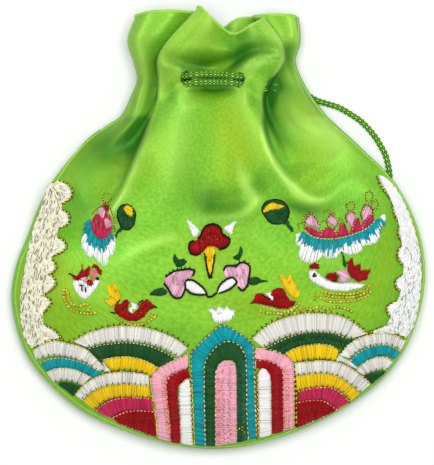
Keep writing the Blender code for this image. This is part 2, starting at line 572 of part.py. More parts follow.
CLOUDS = (
    ("cloud_left", "cream",
     ((46.4, 189), (44, 198), (42, 207), (40, 213), (38, 221), (36.4, 227), (34.6, 234),
      (32.6, 241), (31, 247), (29.4, 253), (28, 259), (26.6, 265), (25, 272), (24, 279),
      (23, 286), (22.4, 293), (22, 300), (22.6, 308), (23.4, 316), (24.6, 324), (26.4, 332),
      (28.6, 340), (31.6, 347.6)),
     ((50, 187.4), (64, 185), (71, 191), (70, 199), (58, 206), (67, 214), (67.6, 223), (54, 231),
      (60, 239.6), (67, 247), (60, 254), (49, 258), (56.6, 267), (41, 276.4), (52.6, 277.6),
      (57, 284.4), (51, 291), (40.4, 296), (49.4, 303), (44.6, 309), (37.6, 321), (56, 338),
      (35.6, 346)), 1, True),
    ("cloud_right", "white",
     ((379.4, 177), (389, 182), (395, 190), (400, 198), (405, 206), (409, 214), (412.6, 222),
      (415.6, 230), (418, 238), (419.6, 246), (421, 254), (422, 262), (422, 270), (421.4, 278),
      (420.6, 286), (419.6, 294), (418.4, 302), (416.6, 310), (414.4, 318), (412, 326),
      (409.4, 333), (406, 338)),
     ((378, 179), (383.4, 190), (391, 198), (396, 209), (399.4, 220), (397, 229), (397.4, 239),
      (399.4, 247), (397.6, 255), (399.4, 263), (406, 269), (397.4, 277), (395, 284),
      (400, 290.6), (405.6, 295.6), (391, 301.6), (386, 308), (391, 314), (391, 319),
      (374, 328.4), (387, 331), (401, 333.6)), 1, True),
)
MOTIFS = (
    ("lotus_left_bud", "magenta",
     ((93, 239), (93.6, 226), (98, 214), (105, 206)),
     ((111, 241), (112, 229), (111, 217), (107.6, 206.4)), 4, False),
    ("lotus_left_teal", "teal",
     ((84, 228), (86, 238), (94, 243), (103, 244), (112, 242)),
     ((83.6, 233), (86, 244), (94, 250), (103, 252), (112, 249)), 5, False),
    ("lotus_left_fringe", "white",
     ((82.4, 236), (85, 247), (93, 252.6), (102, 254.4), (112.6, 251.4)),
     ((83, 248), (87, 258), (94, 264), (103, 266), (115, 259)), 5, False),
    ("seed_pod_left", "dark_green",
     ((118.6, 214), (120, 207.4), (126, 205), (132, 207.4), (135.4, 213.6)),
     ((119.6, 219), (122.6, 226), (126.6, 229), (131.4, 226.6), (135, 219)), 5, False),
    ("duck_left_feathers", "red",
     ((74, 268), (82, 263.6), (93, 264.6), (103, 272)),
     ((76, 277), (84, 277.4), (93, 277.6), (102, 280)), 4, False),
    ("duck_left_body", "white",
     ((76, 279.4), (84, 279.8), (92, 280), (101, 282.4)),
     ((79.4, 287), (85, 295), (92, 299), (99.6, 297)), 4, False),
    ("bird_left_tail", "yellow",
     ((104.6, 285), (109.4, 282.6), (113.6, 289), (118, 297)),
     ((105, 291), (107, 296.6), (111, 301.4), (116.6, 304)), 4, False),
    ("bird_left_body", "red",
     ((118.6, 305), (125, 308), (133, 309.4), (141, 307), (148, 300.6), (155, 299.6)),
     ((117, 311), (123, 318), (133, 321), (142, 318.6), (149, 311), (156.6, 305)), 6, False),
    ("bud_middle_white", "white",
     ((209.4, 318), (211, 309), (217, 305.4), (224, 306)),
     ((213, 321.4), (220, 322.6), (228, 321), (232.6, 313)), 4, False),
    ("flower_middle_red", "red",
     ((190.4, 238), (196, 227.4), (206, 224.8), (217, 226), (226, 231), (228.6, 240)),
     ((191.6, 245), (198, 250.4), (203.4, 246.6), (214.6, 246), (221, 252), (228, 245)), 6, False),
    ("flower_middle_drop", "yellow",
     ((204.4, 249), (204.4, 258), (205.6, 267), (207, 276)),
     ((213.8, 248.4), (214.4, 258), (212.4, 267), (209, 276.4)), 4, False),
    ("flower_left_pink", "pink",
     ((166.4, 287), (167, 277), (175, 270.4), (185, 271)),
     ((172, 296), (180, 295), (184, 287), (190.6, 277)), 4, False),
    ("flower_right_pink", "pink",
     ((225, 272), (230, 264), (239, 262), (247.6, 265)),
     ((228, 279), (234, 283), (242, 288.4), (248.6, 282)), 4, False),
    ("bird_right_tail", "yellow",
     ((280, 287), (284, 277), (292, 272.6), (298, 275)),
     ((283, 291.4), (290, 289), (295, 285), (298.6, 279)), 4, False),
    ("bird_right_body", "red",
     ((251, 295), (257, 289), (263, 291), (272, 293.4), (281, 292.6), (291, 291)),
     ((253, 300), (259, 304), (266, 307.4), (274, 308.4), (283, 306), (293, 297)), 6, False),
    ("seed_pod_right", "dark_green",
     ((261.6, 211), (264, 203), (272, 200.6), (281, 202.6), (288, 210)),
     ((262.6, 215), (266, 221), (273, 222.8), (281, 221.4), (288, 214)), 5, False),
    ("lotus_right_petals", "pink",
     ((301, 228), (311, 214.6), (321, 227), (330.5, 218.6), (340, 225), (350, 213.6), (359, 220),
      (367, 204.6), (373, 212)),
     ((303.6, 231), (312, 233.6), (321, 234.8), (330.5, 235), (340, 234), (350, 231.6),
      (359, 227.4), (366, 222), (371.6, 216)), 1, True),
    ("lotus_right_teal", "teal",
     ((299.6, 234), (307, 238.6), (318, 241), (330.5, 241.6), (344, 240), (358, 235),
      (370, 226.4), (377, 217.6)),
     ((298.4, 239), (305, 246.6), (317, 250), (330.5, 250.6), (345, 248.6), (361, 243.6),
      (374, 234), (382, 220)), 7, False),
    ("lotus_right_fringe", "white",
     ((296.6, 240.4), (304, 249), (317, 252.6), (330.5, 253), (345, 251), (362, 246), (376, 236),
      (383, 223)),
     ((296, 248), (303, 258), (316, 261.4), (332, 259.4), (349, 256.6), (365, 250.4), (378, 240),
      (385.4, 227)), 7, False),
    ("duck_right_body", "white",
     ((309, 272), (315, 269), (320.6, 273), (328, 282.4), (339, 284), (352, 283.6), (361, 282.4)),
     ((310, 278), (314, 283), (322, 286.4), (331, 287.6), (341, 288), (352, 287.6), (359.6, 285)), 6, False),
    ("duck_right_wing", "red",
     ((324, 273), (333, 270), (343, 270.4), (352, 264), (361, 259.6)),
     ((327, 279.4), (335, 280.4), (344, 280.6), (354, 278.6), (366, 275)), 5, False),
)


def make_panels(parts, cutters):
    satin = material("green_satin", SATIN, 0.3, 0.4)
    lining = material("green_satin_back", SATIN, 0.3, 0.4)
    front = add_object("front_panel", grid_mesh("front_panel", front_points()), satin, parts)
    under = grid_mesh("back_panel", back_points(), flip=True)
    back = add_object("back_panel", under, lining, parts)
    thicken(front, CLOTH)
    thicken(back, CLOTH)
    for name, *place in FRONT_SLITS:
        cut(front, slit_cutter(name, place, SLIT_LENGTH, SLIT_WIDTH, cutters))
    for name, *place in BACK_SLITS:
        cut(back, slit_cutter(name, place, BACK_SLIT_LENGTH, BACK_SLIT_WIDTH, cutters))


def make_cord(parts):
    finish = material("drawcord_green", CORD_GREEN, 0.5)
    line, fine, loop_end, whole = cord_route()
    gap = JOIN_GAP / 2
    cord_node("drawcord_loop", gap, loop_end - gap, line, fine, finish, parts)
    cord_node("drawcord_neck", loop_end + gap, whole - gap, line, fine, finish.copy(), parts)


def make_embroidery(parts):
    for name, thread, outer, inner, steps, corners in WAVES + ROCK + CLOUDS + MOTIFS:
        stitched_field(name, thread, outer, inner, steps, corners, parts)


def main():
    clear_scene()
    parts = bpy.data.collections.new("lucky_charm_pouch")
    cutters = bpy.data.collections.new("cutters")
    for group in (parts, cutters):
        bpy.context.scene.collection.children.link(group)
    make_panels(parts, cutters)
    make_cord(parts)
    make_embroidery(parts)


main()
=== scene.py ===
"""The looks of a satin lucky charm pouch, lying on its back with its drawcord pulled.

Metres, +X across the pouch, +Y towards its mouth, +Z up from the floor. The sections
follow the making: the table and its light, the drawcord, the two cloth panels, the
hems and the seam, then the embroidery from the waves up, and the casing's stitches.
"""

import bmesh
import bpy
import numpy as np
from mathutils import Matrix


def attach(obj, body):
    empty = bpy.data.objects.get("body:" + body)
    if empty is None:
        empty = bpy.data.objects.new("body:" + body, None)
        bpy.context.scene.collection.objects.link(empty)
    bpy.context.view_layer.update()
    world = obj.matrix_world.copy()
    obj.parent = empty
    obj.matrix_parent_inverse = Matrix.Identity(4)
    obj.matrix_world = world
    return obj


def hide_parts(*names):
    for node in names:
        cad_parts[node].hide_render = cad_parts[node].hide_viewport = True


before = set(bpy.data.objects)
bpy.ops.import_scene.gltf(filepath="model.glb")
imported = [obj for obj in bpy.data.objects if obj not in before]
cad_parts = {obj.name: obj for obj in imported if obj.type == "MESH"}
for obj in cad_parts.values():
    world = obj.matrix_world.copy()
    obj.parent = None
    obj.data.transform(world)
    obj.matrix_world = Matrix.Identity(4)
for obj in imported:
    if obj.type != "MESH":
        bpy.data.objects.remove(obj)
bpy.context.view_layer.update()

# The view and the light. The pouch is seen straight down from far off, on a white
# table, under a wide soft lamp on its upper left and pale light from all round.
MM = 0.001
DRAWING_MIDDLE = (218.4, 227.6)
DRAWING_SCALE = (130 * MM / 414, -138.5 * MM / 441)
VIEW_MIDDLE = (217, 232.5)
VIEW_LONG_SIDE = 465
CAMERA_DISTANCE = 2.5
SCALED_HEIGHT = 7 * MM
LAMP_PLACE = (0.02, 0.11, 0.74)
LAMP_SIZE = 0.36
LAMP_POWER = 4.0
ROOM_STRENGTH = 0.36
SENSOR_WIDTH = 36
FLOOR_HALF = 2.0
PAPER_GLOW = 0.13


def plan(points):
    """Drawing units, x right and y down, to metres on the table: shift, then scale."""
    return (np.asarray(points, float) - DRAWING_MIDDLE) * DRAWING_SCALE


def node(tree, kind, inputs=None, **settings):
    """A shader node with its settings and inputs; an input is a value or a socket."""
    made = tree.nodes.new("ShaderNode" + kind)
    for key, value in settings.items():
        setattr(made, key, value)
    for key, value in (inputs or {}).items():
        if isinstance(value, bpy.types.NodeSocket):
            tree.links.new(value, made.inputs[key])
        else:
            made.inputs[key].default_value = value
    return made


def mixed(tree, share, first, second, blend="MIX"):
    """The colour socket of a mix of two colours, each a value or a socket."""
    made = node(tree, "Mix", {"Factor": share}, data_type="RGBA", blend_type=blend)
    for socket, value in zip(made.inputs[6:8], (first, second)):
        if isinstance(value, bpy.types.NodeSocket):
            tree.links.new(value, socket)
        else:
            socket.default_value = value
    return made.outputs[2]


def dye(red, green, blue):
    """A colour given as seen, 0 to 255, to the linear values that a shader takes."""
    seen = np.array((red, green, blue)) / 255
    low, high = seen / 12.92, ((seen + 0.055) / 1.055) ** 2.4
    return (*np.where(seen <= 0.04045, low, high).tolist(), 1)


def blank_material(name):
    """A new material, its node tree and its shader, ready to be linked."""
    made = bpy.data.materials.new(name)
    made.use_nodes = True
    return made, made.node_tree, made.node_tree.nodes["Principled BSDF"]


camera_data = bpy.data.cameras.new("camera")
camera_data.sensor_width = SENSOR_WIDTH
camera_data.lens = SENSOR_WIDTH * CAMERA_DISTANCE / (VIEW_LONG_SIDE * -DRAWING_SCALE[1])
camera_data.clip_end = 10
camera = bpy.data.objects.new("camera", camera_data)
camera.location = (*plan(VIEW_MIDDLE), SCALED_HEIGHT + CAMERA_DISTANCE)
bpy.context.scene.collection.objects.link(camera)
bpy.context.scene.camera = camera
bpy.context.scene.view_settings.view_transform = "Standard"

lamp_data = bpy.data.lights.new("soft_lamp", "AREA")
lamp_data.size = LAMP_SIZE
lamp_data.energy = LAMP_POWER
lamp = bpy.data.objects.new("soft_lamp", lamp_data)
lamp.location = LAMP_PLACE
away = np.array(LAMP_PLACE)
lamp.rotation_euler = (
    0, np.arctan2(np.hypot(away[0], away[1]), away[2]), np.arctan2(away[1], away[0])
)
bpy.context.scene.collection.objects.link(lamp)

world = bpy.data.worlds.new("pale_room")
world.use_nodes = True
bpy.context.scene.world = world
seen_rays = node(world.node_tree, "LightPath")
room_light = node(
    world.node_tree, "MapRange",
    {"Value": seen_rays.outputs["Is Camera Ray"], "To Min": ROOM_STRENGTH},
)
world.node_tree.links.new(
    room_light.outputs["Result"], world.node_tree.nodes["Background"].inputs["Strength"]
)
world.node_tree.nodes["Background"].inputs["Color"].default_value = (1, 1, 1, 1)

paper, tree, shader = blank_material("white_paper")
shader.inputs["Base Color"].default_value = (0.9, 0.9, 0.91, 1)
shader.inputs["Roughness"].default_value = 0.9
shader.inputs["Specular IOR Level"].default_value = 0.1
shader.inputs["Emission Color"].default_value = (1, 1, 1, 1)
paper_lift = node(
    tree, "MapRange",
    {"Value": node(tree, "LightPath").outputs["Is Camera Ray"], "To Max": PAPER_GLOW},
)
tree.links.new(paper_lift.outputs["Result"], shader.inputs["Emission Strength"])
floor_mesh = bpy.data.meshes.new("floor")
floor_mesh.from_pydata(
    [(x * FLOOR_HALF, y * FLOOR_HALF, 0) for x, y in ((-1, -1), (1, -1), (1, 1), (-1, 1))],
    [], [(0, 1, 2, 3)],
)
floor_mesh.materials.append(paper)
floor = bpy.data.objects.new("floor", floor_mesh)
bpy.context.scene.collection.objects.link(floor)

# The drawcord: one round braid of green polyester, 2 mm thick, that passes twice round
# the neck. What isn't drawn up lies on the table as one loose loop and goes back in.
CORD_RADIUS = 1 * MM
JOIN_GAP = 0.3 * MM
BRAID_STRANDS = 6
BRAID_LAY = 4.5 * MM
BRAID_DEPTH = 0.28
BRAID_STEP = 0.24 * MM
BRAID_SIDES = 24
ROUTE_SAMPLES = 3000
# The cord's colours: a painted shade for the grooves between strands, the braid's own green, and a painted
# sheen highlight on the strands that lie on top.
CORD_GROOVE_SHADE = dye(4, 96, 8)
CORD_MIDDLE = dye(52, 190, 36)
CORD_SHEEN = dye(218, 255, 112)
# The route in drawing units with its height in millimetres: the loose loop, then the neck.
LOOP_ROUTE = (
    (288, 72.5, 1.6), (293, 80, 1.15), (299.5, 88, 1.05), (308, 95, 1.05), (317, 100, 1.05),
    (326, 103, 1.05), (338.5, 107, 1.05), (351, 114, 1.05), (360, 120, 1.05),
    (368, 127.6, 1.05), (375, 136, 1.05), (381, 145.5, 1.05), (385.5, 154, 1.05),
    (388, 162.6, 1.05), (389.6, 171, 1.05), (390.3, 180, 1.05), (389.5, 190, 1.05),
    (385.5, 200, 1.05), (377, 206.5, 1.05), (364, 208, 1.05), (346, 204, 1.05),
    (325, 193, 1.05), (305, 176, 1.05), (288, 154, 1.05), (274, 130, 1.05),
    (262, 112, 1.05), (255, 102, 1.3), (249, 96, 1.9),
)
NECK_ROUTE = (
    (241.5, 92.7, 3.4), (233, 91.4, 5.3), (220, 90.3, 5.9), (195, 89.3, 5.9),
    (167, 88.3, 5.2), (151, 87.5, 5.4), (146, 86.8, 7.2), (151, 86, 8.9), (162, 85.6, 9.4),
    (170, 85.3, 10), (175, 85.2, 12.4), (179.5, 85, 16.8), (187, 84.4, 19.8),
    (194, 83.6, 21.3), (203, 83, 20.6), (216, 82.8, 19.1), (231, 83.4, 21),
    (240, 84.6, 19), (248, 85.4, 16), (254.5, 85.8, 12.2), (260, 86, 10), (273, 86, 9.4),
    (287, 85.6, 9), (293, 84.6, 7.2), (288, 83.6, 5.4),
    (275, 82.8, 5.2), (250, 81.6, 5.9), (220, 80.6, 5.9), (190, 80, 5.9), (165, 79.4, 5.2),
    (151, 78.8, 5.4), (146, 78.4, 7.2), (151, 78, 8.9), (162, 77.6, 9.4),
    (170, 77.4, 10), (175, 77.2, 12.4), (179.5, 77, 16.8), (187, 76.4, 19.8),
    (194, 75.4, 21.3), (203, 74.8, 20.6), (217, 74.8, 19.1), (231, 76.2, 21),
    (240, 77.4, 19), (248, 77.4, 16), (254.5, 76, 12.2), (261, 73.6, 9.4),
    (269, 70, 7.2), (276, 67.4, 4.9), (281.5, 67.4, 3.2), (285.4, 69.2, 2.2),
)


def smooth(at, knots, values):
    """The curve through values at the knots: one cubic between each two, with the slope
    at each knot taken from its neighbours."""
    knots, values = np.asarray(knots, float), np.asarray(values, float)
    slopes = np.gradient(values, knots, axis=0)
    i = np.clip(np.searchsorted(knots, at, side="right") - 1, 0, len(knots) - 2)
    span = knots[i + 1] - knots[i]
    u = (at - knots[i]) / span
    shape = u.shape + (1,) * (values.ndim - 1)
    u, span = u.reshape(shape), span.reshape(shape)
    start = (1 + 2 * u) * (1 - u) ** 2 * values[i] + u * (1 - u) ** 2 * span * slopes[i]
    end = u * u * (3 - 2 * u) * values[i + 1] - u * u * (1 - u) * span * slopes[i + 1]
    return start + end


def lengths(points):
    """How far along a line each of its points is."""
    return np.concatenate([[0], np.cumsum(np.linalg.norm(np.diff(points, axis=0), axis=1))])


def filled_mesh(name, points, quads, triangles=(), finish=None):
    """A smooth-shaded mesh from whole arrays of points and faces."""
    made = bpy.data.meshes.new(name)
    made.vertices.add(len(points))
    made.vertices.foreach_set("co", np.asarray(points, np.float32).ravel())
    triangles = np.asarray(triangles, int).reshape(-1, 3)
    corners = np.concatenate([quads.ravel(), triangles.ravel()])
    made.loops.add(len(corners))
    made.loops.foreach_set("vertex_index", corners.astype(np.int32))
    first = np.concatenate(
        [np.arange(len(quads)) * 4, len(quads) * 4 + np.arange(len(triangles)) * 3]
    )
    made.polygons.add(len(first))
    made.polygons.foreach_set("loop_start", first.astype(np.int32))
    made.update(calc_edges=True)
    made.shade_smooth()
    if finish:
        made.materials.append(finish)
    return made


def keep_vectors(mesh, name, values):
    """Stores three numbers for each vertex, for the material to read."""
    kept = mesh.attributes.new(name, "FLOAT_VECTOR", "POINT")
    kept.data.foreach_set("vector", np.asarray(values, np.float32).ravel())


def place(name, mesh, replaces=()):
    """Puts a finished mesh in the scene as one piece that rides on the pouch."""
    made = bpy.data.objects.new(name, mesh)
    bpy.context.scene.collection.objects.link(made)
    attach(made, "root")
    if replaces:
        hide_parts(*replaces)
    return made


def closed_tubes(name, first, rings, last, finish):
    """Tubes from count x steps x sides ring points, closed by a pole at each end."""
    count, steps, sides = rings.shape[:3]
    size = steps * sides + 2
    points = np.concatenate(
        [first[:, None], rings.reshape(count, -1, 3), last[:, None]], axis=1
    )
    ring = 1 + np.arange(steps * sides).reshape(steps, sides)
    turned = np.roll(ring, -1, axis=1)
    quads = np.stack([ring[:-1], turned[:-1], turned[1:], ring[1:]], axis=-1).reshape(-1, 4)
    poles = np.zeros(sides, int), np.full(sides, size - 1)
    caps = np.concatenate([
        np.stack([poles[0], turned[0], ring[0]], axis=-1),
        np.stack([poles[1], ring[-1], turned[-1]], axis=-1),
    ])
    shift = (np.arange(count) * size)[:, None, None]
    return filled_mesh(
        name, points.reshape(-1, 3), (quads + shift).reshape(-1, 4),
        (caps + shift).reshape(-1, 3), finish,
    )


def steady_frame(line):
    """Two directions square to a line at each point that don't spin along it: level ones,
    turned back by the sum of their own spin."""
    ahead = np.gradient(line, axis=0)
    ahead /= np.linalg.norm(ahead, axis=1, keepdims=True)
    side = np.cross((0, 0, 1), ahead)
    side /= np.linalg.norm(side, axis=1, keepdims=True)
    over = np.cross(ahead, side)
    spin = -np.cumsum(np.einsum("ij,ij->i", np.gradient(side, axis=0), over))[:, None]
    return np.cos(spin) * side + np.sin(spin) * over, np.cos(spin) * over - np.sin(spin) * side


def braided_cord(name, line, finish):
    """A tube whose radius swells where a strand crosses over. Two sets of strands wind
    opposite ways; each crossing shows one of them, in turn, as a rounded bead."""
    run = lengths(line)
    at = np.linspace(0, run[-1], round(run[-1] / BRAID_STEP))
    line = np.stack([np.interp(at, run, line[:, axis]) for axis in range(3)], axis=1)
    side, over = steady_frame(line)
    angle = np.linspace(0, 2 * np.pi, BRAID_SIDES, endpoint=False)
    turns = BRAID_STRANDS * angle[None] / 2
    advance = np.pi * at[:, None] * BRAID_STRANDS / (2 * BRAID_LAY)
    right, left = (turns + advance) / np.pi, (turns - advance) / np.pi
    on_top = (np.round(right) + np.round(left)) % 2
    right_bead = np.cos(np.pi * (right - np.round(right)))
    left_bead = np.cos(np.pi * (left - np.round(left)))
    bead = np.where(on_top > 0, right_bead * left_bead**0.35, left_bead * right_bead**0.35)
    out = CORD_RADIUS * (1 - BRAID_DEPTH + BRAID_DEPTH * bead)[..., None]
    ring = np.cos(angle)[None, :, None] * side[:, None] + np.sin(angle)[None, :, None] * over[:, None]
    rings = line[:, None] + out * ring
    mesh = closed_tubes(name, line[:1], rings[None], line[-1:], finish)
    marks = np.stack([bead, on_top, np.broadcast_to(at[:, None], bead.shape)], axis=-1)
    keep_vectors(mesh, "braid", np.concatenate([marks[:1, 0], marks.reshape(-1, 3), marks[-1:, 0]]))
    return mesh, line


cord_finish, tree, shader = blank_material("braided_green")
braid = node(tree, "Attribute", attribute_name="braid")
strand = node(tree, "SeparateXYZ", {"Vector": braid.outputs["Vector"]})
fibre = node(tree, "TexNoise", {"Scale": 5200.0, "Detail": 2.0})
# Painted shade darkens the grooves; a painted sheen lightens the strands of one way where they lie on top.
groove = node(tree, "MapRange", {"Value": strand.outputs["X"], "From Min": 0.42, "From Max": 0.78})
shine = node(tree, "MapRange", {"Value": strand.outputs["Y"], "To Min": 0.12, "To Max": 1.0})
flecked = mixed(tree, shine.outputs["Result"], CORD_MIDDLE, CORD_SHEEN)
groove_shaded = mixed(tree, groove.outputs["Result"], CORD_GROOVE_SHADE, flecked)
tree.links.new(groove_shaded, shader.inputs["Base Color"])
rough = node(tree, "MapRange", {"Value": fibre.outputs["Fac"], "To Min": 0.5, "To Max": 0.7})
tree.links.new(rough.outputs["Result"], shader.inputs["Roughness"])
fibre_bump = node(tree, "Bump", {"Height": fibre.outputs["Fac"], "Distance": 0.00006})
tree.links.new(fibre_bump.outputs["Normal"], shader.inputs["Normal"])
shader.inputs["Specular IOR Level"].default_value = 0.25

drawn = np.array(LOOP_ROUTE + NECK_ROUTE + LOOP_ROUTE[:1], float)
route = np.column_stack([plan(drawn[:, :2]), drawn[:, 2] * MM])
route_run = lengths(route)
route_at = np.linspace(0, route_run[-1], ROUTE_SAMPLES)
cord_line = smooth(route_at, route_run, route)
loop_end = route_run[len(LOOP_ROUTE) - 1]
on_loop = (route_at > JOIN_GAP / 2) & (route_at < loop_end - JOIN_GAP / 2)
on_neck = (route_at > loop_end + JOIN_GAP / 2) & (route_at < route_run[-1] - JOIN_GAP / 2)

loop_mesh, loop_path = braided_cord("drawcord_loop_braid", cord_line[on_loop], cord_finish)
loop = place("drawcord_loop_braid", loop_mesh, ["drawcord_loop"])
neck_mesh, _ = braided_cord("drawcord_neck_braid", cord_line[on_neck], cord_finish)
place("drawcord_neck_braid", neck_mesh, ["drawcord_neck"])

# The two panels: green polyester satin, backed, about 0.7 mm thick as sewn. The front is
# drawn into three lobes at the neck, with a deep fold on each side of the middle one.
CLOTH = 0.7 * MM
BODY_HEIGHT = 24 * MM
RIM_ROLL = 5 * MM
DOME_REACH = 16 * MM
SEAM_GROOVE = 0.3 * MM + 0.7 * CLOTH
NECK_LIFT = 3.2 * MM
NECK_RISE = 13 * MM
NECK_DROP = 5.5 * MM
BODY_MIDDLE = (218, 275)
RIM_END = np.radians(141)
# The rim: x, y and the angle in degrees by which the back cloth rolls up past it.
RIM = np.array((
    (100, 132, 0), (80, 148, 25), (59, 172, 40), (41, 201, 46), (27, 236, 46),
    (15, 268, 46), (11, 296, 46), (15, 324, 46), (27, 356, 46), (53, 388, 46),
    (83, 412, 45), (117, 428, 38), (170, 444, 26), (217, 447.5, 20), (258, 443, 26),
    (300, 430, 38), (349, 405, 50), (389, 372, 48), (412, 335, 32), (421, 304, 24),
    (425, 268, 26), (422, 244, 26), (409.5, 208, 26), (393, 181, 24), (362, 151, 16),
    (335, 127, 0), (325, 118, 0), (292, 86, 0), (222, 74, 0), (160, 85, 0), (124, 117, 0),
))
# Soft folds of the front: height and width in millimetres, then the route.
FOLDS = (
    (1.6, 4.5, ((157, 100), (150, 120), (138, 155), (127, 180))),
    (-1.5, 4.5, ((146, 112), (136, 130), (122, 160))),
    (1.5, 4.5, ((300, 108), (316, 128), (338, 156))),
    (-0.8, 5.0, ((272, 112), (276, 135), (288, 160), (302, 176))),
    (1.2, 4.5, ((258, 110), (258, 135), (266, 160))),
    (-1.2, 4.0, ((232, 118), (236, 150), (246, 172))),
)
CREASES = (
    (1.0, 2.6, ((138, 152), (128, 178), (117, 202), (102, 220), (84, 232))),
    (-0.9, 4.0, ((120, 168), (108, 190), (92, 210))),
    (1.3, 2.6, ((268, 142), (279, 164), (291, 183), (301, 195), (314, 201), (328, 198), (341, 186))),
    (-0.5, 5.0, ((296, 150), (304, 168), (316, 184))),
    (1.2, 2.4, ((238, 158), (240, 172), (246, 186), (253, 196), (251.4, 207), (239, 213), (215, 215),
                (190, 220))),
    (-1.5, 4.2, ((202, 200), (222, 203), (246, 202))),
    (-0.5, 3.4, ((247, 172), (257, 182), (266, 194))),
    (0.6, 3.2, ((118, 262), (136, 250), (160, 240), (182, 236))),
    (-0.5, 3.4, ((130, 246), (150, 234), (172, 228))),
    (0.5, 3.0, ((246, 232), (262, 242), (284, 256))),
    (0.3, 4.0, ((182, 120), (176, 150), (172, 180), (160, 205))),
    (-0.5, 5.0, ((205, 120), (200, 150), (194, 180))),
    (0.4, 4.0, ((226, 120), (222, 150), (214, 176))),
    (0.7, 3.4, ((70, 172), (84, 190), (88, 210))),
    (0.5, 3.0, ((352, 170), (366, 190), (384, 204))),
)
# Where the cloth of the middle lobe lies over its sides: the drop in millimetres to the
# side on the left of the route, how far it takes to come back up, then the route.
STEPS = (
    (-5.4, 7.0, ((156, 99), (150, 116), (145.4, 130), (138.8, 146.5), (134, 160), (129.2, 172.3),
                 (122.5, 187.6),
                 (116, 199), (108, 212))),
    (4.4, 7.0, ((263, 104), (263, 120), (266, 138), (273, 155), (282, 170), (291, 183))),
)
# In millimetres: how soft an overlap's edge is, how far its drop runs on past its route's
# two ends, and the box round the route outside which there is none.
STEP_EDGE = 0.42
PAST_END = 2.8
STEP_BOX = (35, 9)
# Painted shade where light seldom reaches the satin, in the same two forms: beside the overlaps, and as
# soft bands. Then painted highlights along pale lines, and a yellower painted sheen cast.
SHADES = (
    (-0.8, 6.0, ((157.8, 88), (156, 99), (149.8, 116), (145.2, 130), (138.6, 146.5), (133.8, 160),
                 (129, 172.3),
                 (122, 188), (113, 203))),
    (-0.5, 3.0, ((158.4, 64), (159.4, 76), (159, 90))),
    (0.5, 4.0, ((158, 72), (157, 61), (161, 49), (173.5, 33.7), (188.8, 21.4))),
    (1.35, 6.0, ((267, 84), (263.4, 95), (262.6, 110), (262.8, 124), (265.6, 136), (270, 148), (275, 158))),
    (1.1, 4.2, ((284, 50), (284.4, 60), (280.6, 69), (273, 79), (266, 88), (262, 100), (262, 112))),
)
SHADE_BANDS = (
    (0.85, 3.3, ((159, 58), (180, 63), (198, 66.6), (216, 67.4), (231, 64), (242, 57), (258, 51.6),
                 (282, 51))),
    (0.9, 0.9, ((194, 80), (213, 81), (234, 81))),
    (0.95, 1.25, ((190, 88), (213, 89.8), (237, 88))),
    (0.95, 1.1, ((184.6, 71), (187.6, 78), (188, 86))),
    (0.9, 1.0, ((235.6, 75), (238.4, 80), (239.4, 87))),
    (0.4, 6, ((196, 24), (210, 40), (226, 46))),
    (0.35, 6, ((232, 40), (250, 38), (268, 34))),
    (0.4, 5.0, ((150, 112), (138, 126), (122, 138), (104, 146), (88, 152))),
    (0.55, 4.6, ((188, 202), (215, 204), (246, 200))),
    (0.35, 4.0, ((250, 174), (260, 182), (271, 190))),
    (0.45, 1.5, ((274, 197), (288, 204), (303, 209.6), (322, 211))),
    (0.22, 4.5, ((284, 88), (288, 110), (294, 135), (300, 155))),
    (0.3, 6.0, ((172, 150), (184, 175), (198, 194), (220, 206))),
    (0.25, 4.5, ((150, 106), (144, 122), (134, 140), (122, 160))),
    (0.3, 3.4, ((284, 206), (310, 211), (342, 208))),
    (0.35, 5.0, ((64, 190), (80, 206), (96, 222))),
    (0.42, 5.5, ((76, 190), (83, 168), (94, 156), (108, 151), (124, 150))),
)
PAINTED_HIGHLIGHT_LINES = (
    (0.95, 0.75, ((199, 8.6), (189.6, 21.4), (174.3, 33.9), (162, 49), (158, 61), (160, 74), (160, 90),
                (157.6, 99), (151.6, 116), (147, 130), (140.4, 146.5), (135.6, 160), (130.8, 172.3),
                (124, 187.6),
                (117.6, 199), (104, 218))),
    (0.95, 0.75, ((264, 19.6), (270.4, 28), (278.4, 38), (283.4, 48.5), (283.6, 60), (279.6, 69), (272, 79),
                (265.6, 86.7), (263, 95), (262, 108), (262.4, 127.5), (268, 150), (278, 168))),
    (0.8, 1.1, ((262, 130), (268, 150), (278, 168), (288, 182), (299, 195), (314, 200.6), (328, 199.6))),
    (0.55, 0.9, ((160, 66.6), (172, 67), (180, 71), (184.6, 75))),
    (0.8, 1.2, ((235, 80), (241, 70), (251, 63.4), (265, 59.4), (281, 60))),
    (0.4, 1.6, ((238, 162), (241.6, 175), (248, 187), (254.4, 197), (251, 208.6), (238, 215), (214, 217),
                (192, 220))),
    (0.22, 5.5, ((172, 102), (174, 130), (168, 165), (152, 195))),
    (0.45, 3.4, ((300, 82), (316, 102), (331, 122), (341, 145), (343, 168))),
    (0.34, 6.5, ((296, 84), (310, 108), (324, 132), (332, 160))),
    (0.4, 1.6, ((120, 262), (136, 250), (160, 240), (182, 236))),
)
WARM_BANDS = (
    (0.75, 6.5, ((222, 96), (232, 125), (236, 155), (226, 186))),
    (0.7, 6.0, ((180, 22), (200, 26), (206, 40), (196, 50))),
    (0.6, 6.0, ((300, 100), (312, 118), (322, 140))),
    (0.6, 7.0, ((60, 250), (62, 280), (66, 310))),
    (0.5, 5.0, ((150, 60), (148, 84), (142, 104))),
)
